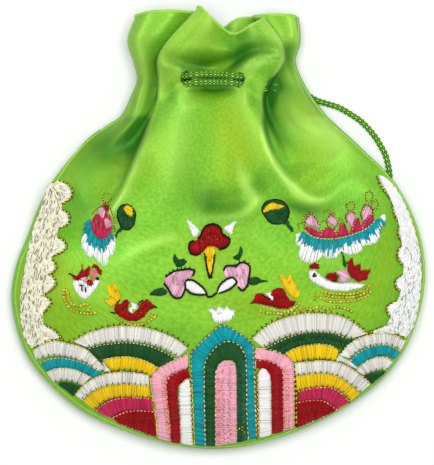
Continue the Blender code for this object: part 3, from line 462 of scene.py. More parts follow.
# The casing and the frill over it: the same kind of soft folds, on the middle lobe.
NECK_FOLDS = (
    (-2.7, 2.9, ((158, 59), (178, 63), (200, 66), (218, 66.6), (234, 61), (248, 54), (262, 51), (284, 50))),
    (0.9, 1.7, ((160, 66), (172, 68), (184, 70))),
    (0.9, 1.5, ((238, 70), (246, 62), (256, 57), (268, 56), (284, 58))),
    (-1.6, 2.0, ((186, 88), (200, 90), (220, 90), (240, 88))),
    (-1.2, 2.2, ((184, 82), (172, 90), (166, 104))),
    (-1.0, 2.2, ((243, 84), (252, 94), (256, 108))),
    (0.8, 2.6, ((192, 98), (186, 120), (180, 145))),
)
FOLD_SAMPLES = 90
DIMPLES = (
    (0.16, 0.11, 0.05, 0.4), (0.12, -0.06, 0.13, 1.9), (0.10, 0.17, -0.09, 3.1), (0.08, 0.05, 0.24, 4.4),
)


def ease(x, low, high):
    """0 at low, 1 at high, with no corner at either."""
    u = np.clip((x - low) / (high - low), 0, 1)
    return u * u * (3 - 2 * u)


def level(y_drawn):
    """The place up the pouch, in metres, of one y of the drawing."""
    return plan((0, y_drawn))[1]


def round_body(x, y):
    """The turn about the body's middle, 0 towards the bottom, and the distance from it."""
    cx, cy = plan(BODY_MIDDLE)
    return np.arctan2(x - cx, cy - y), np.hypot(x - cx, y - cy)


def rim_at(turn):
    """The rim's distance from the middle and the roll of the back cloth: a smooth curve
    through the rim's points in order of turn, carried on past half a turn each way."""
    turns, far = round_body(*plan(RIM[:, :2]).T)
    order = np.argsort(turns)
    both = np.stack([far, np.radians(RIM[:, 2])], axis=1)[order]
    turns = turns[order]
    turns = np.concatenate([turns[-3:] - 2 * np.pi, turns, turns[:3] + 2 * np.pi])
    found = smooth(turn, turns, np.concatenate([both[-3:], both, both[:3]]))
    return found[..., 0], np.maximum(found[..., 1], 0)


# The drawing's rows between which the neck's lift comes in, and the body turns into the neck.
LIFT_ROWS = (250, 195)
NECK_BLEND = (174, 119)


def lift(y):
    """How far the shoulders and the neck are held off the table."""
    return NECK_LIFT * ease(y, *map(level, LIFT_ROWS))


def relief(x, y, folds):
    """The sum of soft folds: each is a bell across its route and fades at its two ends."""
    total = np.zeros_like(x)
    for height, width, drawn_route in folds:
        line = plan(drawn_route)
        steps = np.linspace(0, len(line) - 1, FOLD_SAMPLES)
        px, py = smooth(steps, np.arange(len(line)), line).T
        near = ((x < px.max() + 3 * width * MM) & (x > px.min() - 3 * width * MM)
                & (y < py.max() + 3 * width * MM) & (y > py.min() - 3 * width * MM))
        gap = np.hypot(x[near][:, None] - px, y[near][:, None] - py)
        along = gap.argmin(axis=1) / (FOLD_SAMPLES - 1)
        swell = np.sin(np.pi * np.clip(along, 0.02, 0.98)) ** 0.7
        total[near] += height * MM * swell * np.exp(-((gap.min(axis=1) / (width * MM)) ** 2))
    return total


def stepped(x, y, steps_down):
    """The drop beside each overlap: full at its edge, less by an exponential of the distance
    from it, faded towards the low end of the route and by a bell past both ends."""
    total = np.zeros_like(x)
    for drop, reach, drawn_route in steps_down:
        line = plan(drawn_route)
        steps = np.linspace(0, len(line) - 1, FOLD_SAMPLES)
        points = smooth(steps, np.arange(len(line)), line)
        ahead = np.gradient(points, axis=0)
        ahead /= np.linalg.norm(ahead, axis=1, keepdims=True)
        near = np.abs(x - points[:, 0].mean()) < STEP_BOX[0] * MM
        near &= y > points[:, 1].min() - STEP_BOX[1] * MM
        near &= y < points[:, 1].max() + STEP_BOX[1] * MM
        gap = np.stack([x[near][:, None] - points[:, 0], y[near][:, None] - points[:, 1]])
        nearest = np.hypot(*gap).argmin(axis=1)
        pick = np.arange(len(nearest))
        beside = (gap[0, pick, nearest] * ahead[nearest, 1]
                  - gap[1, pick, nearest] * ahead[nearest, 0]) * -np.sign(drop)
        beyond = (gap[:, pick, nearest] ** 2).sum(axis=0) - beside**2
        edge = 1 / (1 + np.exp(-np.clip(beside / (STEP_EDGE * MM), -30, 30)))
        edge = edge * np.exp(-beyond / (PAST_END * MM) ** 2)
        fade = np.sin(np.pi * np.clip(0.5 + nearest / (2 * FOLD_SAMPLES), 0, 1)) ** 0.8
        total[near] -= abs(drop) * MM * fade * edge * np.exp(-np.maximum(beside, 0) / (reach * MM))
    return total


def front_height(x, y):
    """The top of the front panel over the body: it climbs from the seam towards the dome's
    height as one less an exponential of the distance from the seam, plus folds and dimples."""
    turn, out = round_body(x, y)
    rim, roll = rim_at(turn)
    inside = np.maximum(rim - RIM_ROLL * (1 - np.cos(roll)) - out, 0)
    seam = RIM_ROLL * (1 + np.sin(roll)) + lift(y) + SEAM_GROOVE / 2
    dome = seam + (BODY_HEIGHT - seam) * (1 - np.exp(-inside / DOME_REACH))
    soft = relief(x, y, FOLDS) + relief(x, y, CREASES)
    soft = soft + stepped(x, y, STEPS)
    for height, across, along, start in DIMPLES:
        soft = soft + height * MM * np.sin((x * across + y * along) / MM * 2 + start)
    return dome + soft * (1 - np.exp(-inside / RIM_ROLL))


def back_height(x, y):
    """The underside over the body: flat on the table, a quarter circle at the rim."""
    turn, out = round_body(x, y)
    inside = np.clip(rim_at(turn)[0] - out, 0, RIM_ROLL)
    return RIM_ROLL - np.sqrt(RIM_ROLL**2 - (RIM_ROLL - inside) ** 2) + lift(y)


# Neck rows from the foot of the neck to the mouth: y, left side and right side.
NECK_ROWS = np.array((
    (117.5, 124, 325), (98, 132.5, 310.5), (80, 139, 300),
    (61, 135.5, 293.5), (41, 129.5, 298.5), (18, 138, 297),
))
# The front's section in each row: how far round the cloth each knot is, its place across
# the neck and its share of the rise, with the middle lobe lying over its sides.
FRONT_KNOTS = (-1, -0.86, -0.77, -0.67, -0.59, -0.43, -0.28, -0.02, 0.24, 0.38, 0.54, 0.7, 0.84, 1)
FRONT_ACROSS = (
    (-1, -0.96, -0.89, -0.80, -0.74, -0.69, -0.47, -0.09, 0.22, 0.37, 0.43, 0.62, 0.86, 1),
    (-1, -1.00, -0.91, -0.80, -0.71, -0.71, -0.48, -0.08, 0.30, 0.47, 0.50, 0.70, 0.91, 1),
    (-1, -1.01, -0.93, -0.80, -0.67, -0.76, -0.55, -0.07, 0.40, 0.66, 0.54, 0.76, 0.95, 1),
    (-1, -1.01, -0.92, -0.76, -0.60, -0.72, -0.50, 0.09, 0.60, 0.88, 0.70, 0.87, 0.98, 1),
    (-1, -1.01, -0.89, -0.66, -0.36, -0.48, -0.29, 0.17, 0.57, 0.79, 0.63, 0.83, 0.97, 1),
    (-1, -1.01, -0.85, -0.54, -0.32, -0.23, -0.11, 0.18, 0.43, 0.59, 0.45, 0.69, 0.92, 1),
)
FRONT_UP = (
    (0, 0.32, 0.50, 0.48, 0.42, 0.56, 0.92, 0.96, 0.92, 0.72, 0.56, 0.66, 0.42, 0),
    (0, 0.26, 0.46, 0.36, 0.26, 0.56, 0.92, 0.82, 0.88, 0.60, 0.34, 0.54, 0.34, 0),
    (0, 0.26, 0.46, 0.36, 0.27, 0.60, 0.92, 0.67, 0.88, 0.60, 0.28, 0.44, 0.28, 0),
    (0, 0.32, 0.58, 0.46, 0.20, 0.76, 1.02, 0.76, 0.98, 0.66, 0.20, 0.34, 0.24, 0),
    (0, 0.38, 0.68, 0.68, 0.32, 0.84, 1.06, 0.78, 1.02, 0.78, 0.26, 0.42, 0.32, 0),
    (0, 0.36, 0.66, 0.68, 0.40, 0.82, 1.00, 0.66, 0.92, 0.74, 0.28, 0.42, 0.32, 0),
)
FRONT_HEM = (0, 2, 5, 6, 5, 10, 1, -16.5, -8, -1, 1, 2.5, 2, 0)
BACK_KNOTS = (-1, -0.75, -0.5, -0.25, 0, 0.25, 0.5, 0.75, 1)
BACK_ACROSS = (-1, -0.94, -0.6, -0.28, 0, 0.27, 0.6, 0.94, 1)
BACK_DOWN = (
    (0, 0.75, 1.00, 0.85, 1.00, 0.85, 1.00, 0.75, 0),
    (0, 0.80, 1.00, 0.78, 1.00, 0.80, 1.00, 0.80, 0),
    (0, 0.80, 1.00, 0.75, 1.00, 0.78, 1.00, 0.80, 0),
    (0, 0.85, 1.05, 0.72, 1.05, 0.74, 1.00, 0.80, 0),
    (0, 1.00, 1.25, 0.80, 1.25, 0.85, 1.25, 1.00, 0),
    (0, 1.10, 1.35, 0.95, 1.38, 0.95, 1.38, 1.10, 0),
)
BACK_HEM = (0, 1, 3, 4, -12, -1, 0, 1, 0)
HEM_SHARE = (0, 0, 0, 0.2, 0.6, 1)
FRONT_COLUMNS = np.linspace(-1, 1, 261)
FRONT_BODY_ROWS = np.linspace(0, 1, 105)[:-1] ** 1.25
FRONT_NECK_ROWS = np.linspace(0, 5, 76)
BACK_COLUMNS = np.linspace(-1, 1, 181)
BACK_BODY_ROWS = 0.004 + 0.996 * np.linspace(0, 1, 81)[:-1] ** 1.6
BACK_NECK_ROWS = np.linspace(0, 5, 56)


def neck_grid(across, up, hem, knots, s, rows):
    """The folded cloth of the neck: rows of sections, smooth along and across."""
    steps = np.arange(len(NECK_ROWS))
    y, left, right = smooth(rows, steps, NECK_ROWS).T
    x_share = smooth(s, knots, smooth(rows, steps, across).T)
    height = smooth(s, knots, smooth(rows, steps, up).T)
    wave = smooth(s, knots, hem)[:, None] * smooth(rows, steps, HEM_SHARE)
    x = (left + right) / 2 + x_share * (right - left) / 2
    flat = plan(np.stack([x, y - wave], axis=-1))
    return np.concatenate([flat, (RIM_ROLL + NECK_LIFT + height)[..., None]], axis=-1)


def rim_points(s, angle_share):
    """Points round the rim roll, from 0 at the widest line to 1 at the seam."""
    turn = s * RIM_END
    rim, roll = rim_at(turn)
    out = rim - RIM_ROLL * (1 - np.cos(roll * angle_share))
    cx, cy = plan(BODY_MIDDLE)
    y = cy - out * np.cos(turn)
    up = RIM_ROLL * (1 + np.sin(roll * angle_share)) + lift(y)
    return np.stack([cx + out * np.sin(turn), y, up], axis=-1)


def fan(start, foot, shares, height, foot_up):
    """Straight columns from the rim to the foot of the neck, laid over the body. Their
    height passes from the body's to the foot's above the embroidery."""
    flat = start[:, None, :2] + (foot - start)[:, None, :2] * shares[:, None]
    x, y = flat[..., 0], flat[..., 1]
    share = ease(y, *map(level, NECK_BLEND))
    z = (1 - share) * height(x, y) + share * foot_up[:, None]
    return np.concatenate([flat, z[..., None]], axis=-1)


def eased(grid, row, reach, rounds, pull=0.8):
    """Takes the corner out of the columns near one row, by repeated means of neighbours
    that count less the further they are from it."""
    weight = np.exp(-((np.arange(grid.shape[1]) - row) / reach) ** 2)[1:-1, None]
    for _ in range(rounds):
        mean = (grid[:, :-2] + grid[:, 2:]) / 2
        grid[:, 1:-1] += pull * weight * (mean - grid[:, 1:-1])
    return grid


def cloth_quads(across, along):
    """The four-sided faces between neighbours in a grid of points."""
    index = np.arange(across * along).reshape(across, along)
    return np.stack(
        [index[:-1, :-1], index[1:, :-1], index[1:, 1:], index[:-1, 1:]], axis=-1
    ).reshape(-1, 4)


def panel_mesh(name, grid, flip, finish):
    """A panel's outer face as a mesh, with its own UV map in metres of cloth: across from
    the middle column, and along as the mean run of its columns."""
    across, along = grid.shape[:2]
    quads = cloth_quads(across, along)
    quads = quads[:, ::-1] if flip else quads
    mesh = filled_mesh(name, grid.reshape(-1, 3), quads, finish=finish)
    girth = np.linalg.norm(np.diff(grid[:, along // 2], axis=0), axis=1).sum()
    run = np.concatenate(
        [[0], np.cumsum(np.linalg.norm(np.diff(grid, axis=1), axis=2).mean(axis=0))]
    )
    u = np.linspace(-0.5, 0.5, across)[:, None] * girth
    uv = np.stack(np.broadcast_arrays(u, run[None]), axis=-1).reshape(-1, 2)
    layer = mesh.uv_layers.new(name="cloth")
    corners = np.zeros(len(mesh.loops), np.int32)
    mesh.loops.foreach_get("vertex_index", corners)
    layer.data.foreach_set("uv", uv[corners].astype(np.float32).ravel())
    return mesh


def walled(piece, wall):
    """Gives a sheet its thickness on the inner side."""
    made = piece.modifiers.new("wall", "SOLIDIFY")
    made.thickness = wall
    made.offset = -1
    return piece


neck = neck_grid(
    FRONT_ACROSS, NECK_RISE * np.array(FRONT_UP), FRONT_HEM, FRONT_KNOTS,
    FRONT_COLUMNS, FRONT_NECK_ROWS,
)
front_body = fan(
    rim_points(FRONT_COLUMNS, 1), neck[:, 0], FRONT_BODY_ROWS, front_height,
    neck[:, 0, 2] + SEAM_GROOVE / 2,
)
neck[..., 2] += SEAM_GROOVE / 2
front_grid = eased(
    np.concatenate([front_body, neck], axis=1), len(FRONT_BODY_ROWS), reach=9, rounds=60
)
# The lobes' own folds come in between two heights and between two rows of the drawing.
LOBE_HEIGHTS = (15 * MM, 17.5 * MM)
LOBE_ROWS = (128, 104)
on_lobe = ease(front_grid[..., 2], *LOBE_HEIGHTS)
on_lobe *= ease(front_grid[..., 1], *map(level, LOBE_ROWS))
front_grid[..., 2] += on_lobe * relief(front_grid[..., 0], front_grid[..., 1], NECK_FOLDS)

back_neck = neck_grid(
    (BACK_ACROSS,) * len(NECK_ROWS), -NECK_DROP * np.array(BACK_DOWN), BACK_HEM, BACK_KNOTS,
    BACK_COLUMNS, BACK_NECK_ROWS,
)
rim_rows = np.stack([rim_points(BACK_COLUMNS, share) for share in np.linspace(1, 0, 9)], axis=1)
back_body = fan(
    rim_rows[:, -1], back_neck[:, 0], BACK_BODY_ROWS, back_height, back_neck[:, 0, 2]
)
back_grid = eased(
    np.concatenate([back_body, back_neck], axis=1), len(BACK_BODY_ROWS), reach=7, rounds=40
)
back_grid = np.concatenate([rim_rows, back_grid], axis=1)
back_grid[:, 0, 2] -= SEAM_GROOVE / 2
back_grid[[0, -1], 1:, 2] -= SEAM_GROOVE / 2

# Each slit: place in drawing units, height, and half its length and width in millimetres.
FRONT_SLITS = ((186.5, 79.5, 19, 1.8, 2.3), (239, 80.5, 18.6, 1.8, 2.3))
BACK_SLITS = ((280.5, 67.5, 3.6, 2.5, 2), (239, 92.6, 3.9, 2.5, 2))
SLIT_LEVELS = 2.5 * MM


def outside_slits(grid, slits):
    """Which faces of a grid lie outside every slit: further from its middle than an
    ellipse, or in another layer of the folds."""
    middle = (grid[:-1, :-1] + grid[1:, 1:]) / 2
    kept = np.ones(middle.shape[:2], bool)
    for x, y, height, half_length, half_width in slits:
        apart = (middle[..., :2] - plan((x, y))) / (half_length * MM, half_width * MM)
        near = np.abs(middle[..., 2] - height * MM) < SLIT_LEVELS
        kept &= (np.linalg.norm(apart, axis=-1) > 1) | ~near
    return kept.ravel()


# The satin's own green with random bluish and yellowish casts, a painted highlight colour, a painted shade
# colour and a yellower painted sheen colour.
SATIN_GREEN = dye(124, 194, 10)
SATIN_YELLOWISH = dye(156, 202, 6)
SATIN_BLUISH = dye(94, 196, 38)
SATIN_PAINTED_HIGHLIGHT = dye(196, 252, 110)
SATIN_PAINTED_SHADE = dye(24, 112, 0)
SATIN_WARM = dye(164, 204, 4)
SATIN_RIBS = 5600.0

satin_weave = bpy.data.node_groups.new("satin_weave", "ShaderNodeTree")
for name, kind, side in (
    ("Thread", "NodeSocketFloat", "INPUT"), ("Colour", "NodeSocketColor", "OUTPUT"),
    ("Roughness", "NodeSocketFloat", "OUTPUT"), ("Height", "NodeSocketFloat", "OUTPUT"),
):
    satin_weave.interface.new_socket(name=name, socket_type=kind, in_out=side)
given = satin_weave.nodes.new("NodeGroupInput")
made = satin_weave.nodes.new("NodeGroupOutput")
cloth_place = node(satin_weave, "UVMap", uv_map="cloth")
floats = node(
    satin_weave, "Mapping", {"Vector": cloth_place.outputs["UV"], "Scale": (5200.0, 420.0, 1.0)}
)
float_noise = node(
    satin_weave, "TexNoise", {"Vector": floats.outputs["Vector"], "Scale": 1.0, "Detail": 2.0}
)
ribs = node(
    satin_weave, "TexWave",
    {"Vector": cloth_place.outputs["UV"], "Scale": given.outputs["Thread"], "Distortion": 1.5,
     "Detail": 1.0, "Detail Scale": 3.0},
    bands_direction="X",
)
cast = node(
    satin_weave, "TexNoise",
    {"Vector": cloth_place.outputs["UV"], "Scale": 42.0, "Detail": 2.0, "Roughness": 0.45},
)
cast_share = node(
    satin_weave, "MapRange", {"Value": cast.outputs["Fac"], "From Min": 0.36, "From Max": 0.64}
)
speck = node(
    satin_weave, "TexNoise",
    {"Vector": cloth_place.outputs["UV"], "Scale": 1300.0, "Detail": 2.0},
)
speck_share = node(
    satin_weave, "MapRange",
    {"Value": speck.outputs["Fac"], "From Min": 0.36, "From Max": 0.64, "To Max": 0.22},
)
two_casts = mixed(satin_weave, cast_share.outputs["Result"], SATIN_BLUISH, SATIN_YELLOWISH)
half_cast = mixed(satin_weave, 0.5, SATIN_GREEN, two_casts)
# Painted sheen: a yellower cast laid in bands where the satin's sheen turns yellow.
warm = node(satin_weave, "Attribute", attribute_name="warm")
warmed = mixed(satin_weave, warm.outputs["Fac"], half_cast, SATIN_WARM)
specked = mixed(satin_weave, speck_share.outputs["Result"], warmed, SATIN_PAINTED_HIGHLIGHT)
# Painted highlight: pale colour on sharp crests and along the pale lines.
highlight_paint = node(satin_weave, "Attribute", attribute_name="crest")
with_painted_highlight = mixed(satin_weave, highlight_paint.outputs["Fac"], specked, SATIN_PAINTED_HIGHLIGHT)
# Painted shade: deep green in hollows, beside the overlaps and in soft bands.
painted_shade = node(satin_weave, "Attribute", attribute_name="painted_shade")
with_painted_shade = mixed(satin_weave, painted_shade.outputs["Fac"], with_painted_highlight, SATIN_PAINTED_SHADE)
satin_weave.links.new(with_painted_shade, made.inputs["Colour"])
rough = node(
    satin_weave, "MapRange", {"Value": float_noise.outputs["Fac"], "To Min": 0.3, "To Max": 0.5}
)
satin_weave.links.new(rough.outputs["Result"], made.inputs["Roughness"])
height = node(
    satin_weave, "Math",
    {0: float_noise.outputs["Fac"], 1: ribs.outputs["Fac"]}, operation="ADD",
)
satin_weave.links.new(height.outputs["Value"], made.inputs["Height"])


def satin(name):
    """Satin for one panel: the weave's colours with painted highlight, painted shade and a painted sheen
    cast, a bump of its floats, and a soft sheen.
    """
    finish, tree, shader = blank_material(name)
    weave = node(tree, "Group", node_tree=satin_weave)
    weave.inputs["Thread"].default_value = SATIN_RIBS
    tree.links.new(weave.outputs["Colour"], shader.inputs["Base Color"])
    tree.links.new(weave.outputs["Roughness"], shader.inputs["Roughness"])
    bump = node(
        tree, "Bump", {"Height": weave.outputs["Height"], "Strength": 0.5, "Distance": 0.00004}
    )
    tree.links.new(bump.outputs["Normal"], shader.inputs["Normal"])
    shader.inputs["Sheen Weight"].default_value = 0.06
    shader.inputs["Specular IOR Level"].default_value = 0.35
    shader.inputs["Sheen Roughness"].default_value = 0.4
    shader.inputs["Sheen Tint"].default_value = (0.8, 1.0, 0.55, 1)
    shader.inputs["Metallic"].default_value = 0.3
    return finish


def crest_of(grid, reach, rounds=7):
    """How sharply the cloth bends outwards across the folds at each point, or inwards for a
    reach below 0: the second difference across the columns over their spacing, 0 to 1,
    softened by neighbours."""
    across = np.gradient(grid, axis=0)
    along = np.gradient(grid, axis=1)
    outward = np.cross(across, along)
    outward /= np.maximum(np.linalg.norm(outward, axis=2, keepdims=True), 1e-12)
    bend = np.zeros_like(grid)
    bend[1:-1] = grid[2:] + grid[:-2] - 2 * grid[1:-1]
    spacing = np.maximum((across**2).sum(axis=2), 1e-10)
    sharp = np.clip(-(bend * outward).sum(axis=2) / spacing * reach, 0, 1)
    for _ in range(rounds):
        sharp[1:-1] = (sharp[:-2] + 2 * sharp[1:-1] + sharp[2:]) / 4
    return sharp


# How strongly the painted highlight on sharp crests and the painted shade in hollows show, and the reach of
# the bend in metres.
CREST_SHARE, CREST_REACH = 0.6, 0.003
HOLLOW_SHARE, HOLLOW_REACH, HOLLOW_ROUNDS = 0.28, -0.006, 12
MOUTH_ROWS = (120, 112)
MOST_SHOWN = 0.95
front_mesh = panel_mesh("front_panel_satin", front_grid, False, satin("green_satin_front"))
back_mesh = panel_mesh("back_panel_satin", back_grid, True, satin("green_satin_back"))
for mesh, grid, slits in (
    (front_mesh, front_grid, FRONT_SLITS), (back_mesh, back_grid, BACK_SLITS)
):
    # Painted light carried to the satin's colour: painted highlight on sharp crests, painted shade in
    # hollows, and a painted sheen cast, none at first.
    shares = {
        "crest": CREST_SHARE * crest_of(grid, CREST_REACH),
        "painted_shade": HOLLOW_SHARE * crest_of(grid, HOLLOW_REACH, HOLLOW_ROUNDS),
        "warm": np.zeros(grid.shape[:2]),
    }
    if mesh == front_mesh:
        # On the front: painted highlight lines, painted shade in bands and beside the overlaps, and the
        # yellower painted sheen cast.
        x, y = grid[..., 0], grid[..., 1]
        over = ease(y, *map(level, MOUTH_ROWS)) * (1 - ease(grid[..., 2], *LOBE_HEIGHTS))
        shares["crest"] += (1 - over) * relief(x, y, PAINTED_HIGHLIGHT_LINES) / MM
        shares["painted_shade"] += (1 - over) * relief(x, y, SHADE_BANDS) / MM - stepped(x, y, SHADES) / MM
        shares["warm"] += relief(x, y, WARM_BANDS) / MM
    for key, share in shares.items():
        kept = mesh.attributes.new(key, "FLOAT", "POINT")
        kept.data.foreach_set("value", np.clip(share, 0, MOST_SHOWN).astype(np.float32).ravel())
    faces = np.flatnonzero(~outside_slits(grid, slits))
    cutting = bmesh.new()
    cutting.from_mesh(mesh)
    cutting.faces.ensure_lookup_table()
    bmesh.ops.delete(cutting, geom=[cutting.faces[i] for i in faces], context="FACES")
    cutting.to_mesh(mesh)
    cutting.free()
front = walled(place("front_panel_satin", front_mesh, ["front_panel"]), CLOTH)
back = walled(place("back_panel_satin", back_mesh, ["back_panel"]), CLOTH)

# The hems: at the mouth each panel is turned in over a thin roll, pressed, with a painted highlight mottled
# into its colour for the bright edge.
HEM_RADIUS = 0.5 * MM
HEM_STEP = 0.45 * MM
HEM_SIDES = 10
HEM_STITCH = 2.2 * MM
HEM_PULL = 0.08


def rolled_edge(name, line, radius, finish):
    """A round roll along a line: rings square to it, a little thinner and thicker by turns
    where the hem stitches pull it in."""
    run = lengths(line)
    at = np.linspace(0, run[-1], round(run[-1] / HEM_STEP))
    line = np.stack([np.interp(at, run, line[:, axis]) for axis in range(3)], axis=1)
    side, over = steady_frame(line)
    angle = np.linspace(0, 2 * np.pi, HEM_SIDES, endpoint=False)
    ring = np.cos(angle)[None, :, None] * side[:, None] + np.sin(angle)[None, :, None] * over[:, None]
    pull = radius * (1 + HEM_PULL * np.sin(2 * np.pi * at / HEM_STITCH))[:, None, None]
    rings = line[:, None] + pull * ring
    return closed_tubes(name, line[:1], rings[None], line[-1:], finish)


hem_finish, tree, shader = blank_material("hem_satin")
hem_noise = node(tree, "TexNoise", {"Scale": 900.0, "Detail": 2.0})
# The hem colour is mottled between the satin green and the painted highlight colour: a painted highlight on
# the rolls.
hem_colour = mixed(tree, hem_noise.outputs["Fac"], SATIN_GREEN, SATIN_PAINTED_HIGHLIGHT)
tree.links.new(hem_colour, shader.inputs["Base Color"])
hem_rough = node(tree, "MapRange", {"Value": hem_noise.outputs["Fac"], "To Min": 0.3, "To Max": 0.5})
tree.links.new(hem_rough.outputs["Result"], shader.inputs["Roughness"])
for name, line in (("front_hem", front_grid[:, -1]), ("back_hem", back_grid[:, -1])):
    inward = np.array((0, 0, -CLOTH / 2 if name == "front_hem" else CLOTH / 2))
    place(name, rolled_edge(name, line + inward, HEM_RADIUS, hem_finish))

# The seam: the two panels are sewn together right sides in and turned out. Its pressed edge
# runs as one thin roll from the mouth down one side, round the rim and up the other side.
SEAM_RADIUS = 0.4 * MM
seam_line = np.concatenate([front_grid[0, :0:-1], front_grid[:, 0], front_grid[-1, 1:]])
seam_line = seam_line - np.array((0, 0, SEAM_GROOVE / 2))
# The seam roll takes the hems' finish, with the same painted highlight in its colour.
place("rim_seam", rolled_edge("rim_seam", seam_line, SEAM_RADIUS, hem_finish))

# The embroidery is sewn in floss silk through the front panel: each stitch is one strand
# that dives into the cloth at both ends. The waves come first. Each is a nest of bands,
# filled with satin stitches that run straight across from the band's edge to its inside.
STRAND = 0.46 * MM
STRAND_PITCH = 0.365 * MM
LONGEST_STITCH = 5.5 * MM
PAD_TOP = 0.75 * MM
STITCH_RINGS = np.array((0.05, 0.22, 0.78, 0.95))
STITCH_SIDES = 6
SLOPE_STEP = 0.2 * MM
FADE = 0.6 * MM
sewing = np.random.default_rng(8)

silk_thread = bpy.data.node_groups.new("silk_thread", "ShaderNodeTree")
for name, kind, side in (
    ("Silk", "NodeSocketColor", "INPUT"), ("Second silk", "NodeSocketColor", "INPUT"),
    ("Unevenness", "NodeSocketFloat", "INPUT"), ("Colour", "NodeSocketColor", "OUTPUT"),
    ("Roughness", "NodeSocketFloat", "OUTPUT"), ("Height", "NodeSocketFloat", "OUTPUT"),
):
    silk_thread.interface.new_socket(name=name, socket_type=kind, in_out=side)
given = silk_thread.nodes.new("NodeGroupInput")
made = silk_thread.nodes.new("NodeGroupOutput")
# The strand attribute holds the length along a stitch and the turn round it, for its twist.
strand = node(silk_thread, "Attribute", attribute_name="strand")
parts = node(silk_thread, "SeparateXYZ", {"Vector": strand.outputs["Vector"]})
tone = node(silk_thread, "Attribute", attribute_name="tone")
second = node(silk_thread, "Attribute", attribute_name="second")
twist = node(
    silk_thread, "Math", {0: parts.outputs["X"], 1: 9000.0}, operation="MULTIPLY"
)
lay = node(silk_thread, "Math", {0: twist.outputs["Value"], 1: parts.outputs["Y"]}, operation="ADD")
ply = node(silk_thread, "Math", {0: lay.outputs["Value"]}, operation="SINE")
silk_mix = mixed(silk_thread, second.outputs["Fac"], given.outputs["Silk"], given.outputs["Second silk"])
darker = node(
    silk_thread, "MapRange",
    {"Value": tone.outputs["Fac"], "From Min": -1.0, "From Max": 1.0, "To Min": 0.66, "To Max": 1.12},
)
shade = node(
    silk_thread, "MapRange",
    {"Value": given.outputs["Unevenness"], "To Min": 1.0, "To Max": darker.outputs["Result"]},
)
shaded = node(silk_thread, "CombineColor", {
    "Red": shade.outputs["Result"], "Green": shade.outputs["Result"], "Blue": shade.outputs["Result"],
})
dyed = mixed(silk_thread, 1.0, silk_mix, shaded.outputs["Color"], "MULTIPLY")
silk_thread.links.new(dyed, made.inputs["Colour"])
gloss = node(
    silk_thread, "MapRange",
    {"Value": tone.outputs["Fac"], "From Min": -1.0, "To Min": 0.5, "To Max": 0.34},
)
silk_thread.links.new(gloss.outputs["Result"], made.inputs["Roughness"])
silk_thread.links.new(ply.outputs["Value"], made.inputs["Height"])


def floss(name, silk, second_silk=None, unevenness=1.0):
    """Silk floss of one colour, or of two that a piece mixes strand by strand."""
    finish, tree, shader = blank_material(name)
    thread = node(tree, "Group", node_tree=silk_thread)
    thread.inputs["Silk"].default_value = silk
    thread.inputs["Second silk"].default_value = second_silk or silk
    thread.inputs["Unevenness"].default_value = unevenness
    tree.links.new(thread.outputs["Colour"], shader.inputs["Base Color"])
    tree.links.new(thread.outputs["Roughness"], shader.inputs["Roughness"])
    bump = node(
        tree, "Bump", {"Height": thread.outputs["Height"], "Strength": 0.35, "Distance": 0.00004}
    )
    tree.links.new(bump.outputs["Normal"], shader.inputs["Normal"])
    shader.inputs["Specular IOR Level"].default_value = 0.16
    shader.inputs["Sheen Weight"].default_value = 0.03
    return finish


def on_cloth(flat):
    """Points on the front panel, and the way straight out of it there: from the height and
    from its slopes over a small step each way."""
    x, y = flat[..., 0], flat[..., 1]
    height = front_height(x, y)
    out = np.stack([
        height - front_height(x + SLOPE_STEP, y), height - front_height(x, y + SLOPE_STEP),
        np.full_like(x, SLOPE_STEP),
    ], axis=-1)
    out /= np.linalg.norm(out, axis=-1, keepdims=True)
    return np.concatenate([flat, height[..., None]], axis=-1), out


def sewn(name, start, end, width, top, finish, second=0.0, low=-0.12 * MM, lie=on_cloth):
    """Stitches from start to end on the plan. Each is a spindle with a pole at both ends: its
    width grows as the fourth root of the way in, and it rises from the cloth to its top.
    The second silk's share is drawn evenly up to one number, or is given stitch by stitch."""
    count = len(start)
    second = sewing.uniform(0, 1, count) * second if np.ndim(second) == 0 else second
    share = np.concatenate([[0], STITCH_RINGS, [1]])[None, :, None]
    flat = start[:, None] + (end - start)[:, None] * share
    base, out = lie(flat)
    way_in = (4 * share * (1 - share)).clip(0, 1)
    rise = low + (np.broadcast_to(top, count)[:, None, None] - low) * way_in**0.45
    centre = base + out * rise
    ahead = np.gradient(centre, axis=1)
    side = np.cross(out, ahead)
    side /= np.maximum(np.linalg.norm(side, axis=-1, keepdims=True), 1e-12)
    angle = np.linspace(0, 2 * np.pi, STITCH_SIDES, endpoint=False)[:, None]
    across = np.cos(angle) * side[:, 1:-1, None] + np.sin(angle) * out[:, 1:-1, None]
    half = np.broadcast_to(width, count)[:, None, None, None] / 2 * way_in[:, 1:-1, None] ** 0.25
    rings = centre[:, 1:-1, None] + half * across
    mesh = closed_tubes(name, centre[:, 0], rings, centre[:, -1], finish)
    along = np.linspace(0, 1, len(STITCH_RINGS))[:, None]
    along = np.linalg.norm(end - start, axis=1)[:, None, None] * along
    turn = np.broadcast_to(angle[:, 0], (count, len(STITCH_RINGS), STITCH_SIDES))
    marks = np.stack([np.broadcast_to(along, turn.shape), turn, np.zeros(turn.shape)], axis=-1)
    marks = marks.reshape(count, -1, 3)
    keep_vectors(mesh, "strand", np.concatenate([marks[:, :1], marks, marks[:, -1:]], axis=1))
    each = marks.shape[1] + 2
    for key, values in (
        ("tone", sewing.uniform(-1, 1, count)), ("second", np.broadcast_to(second, count))
    ):
        kept = mesh.attributes.new(key, "FLOAT", "POINT")
        kept.data.foreach_set("value", np.repeat(values, each).astype(np.float32))
    return mesh


NECK_REACH = 1.1 * MM


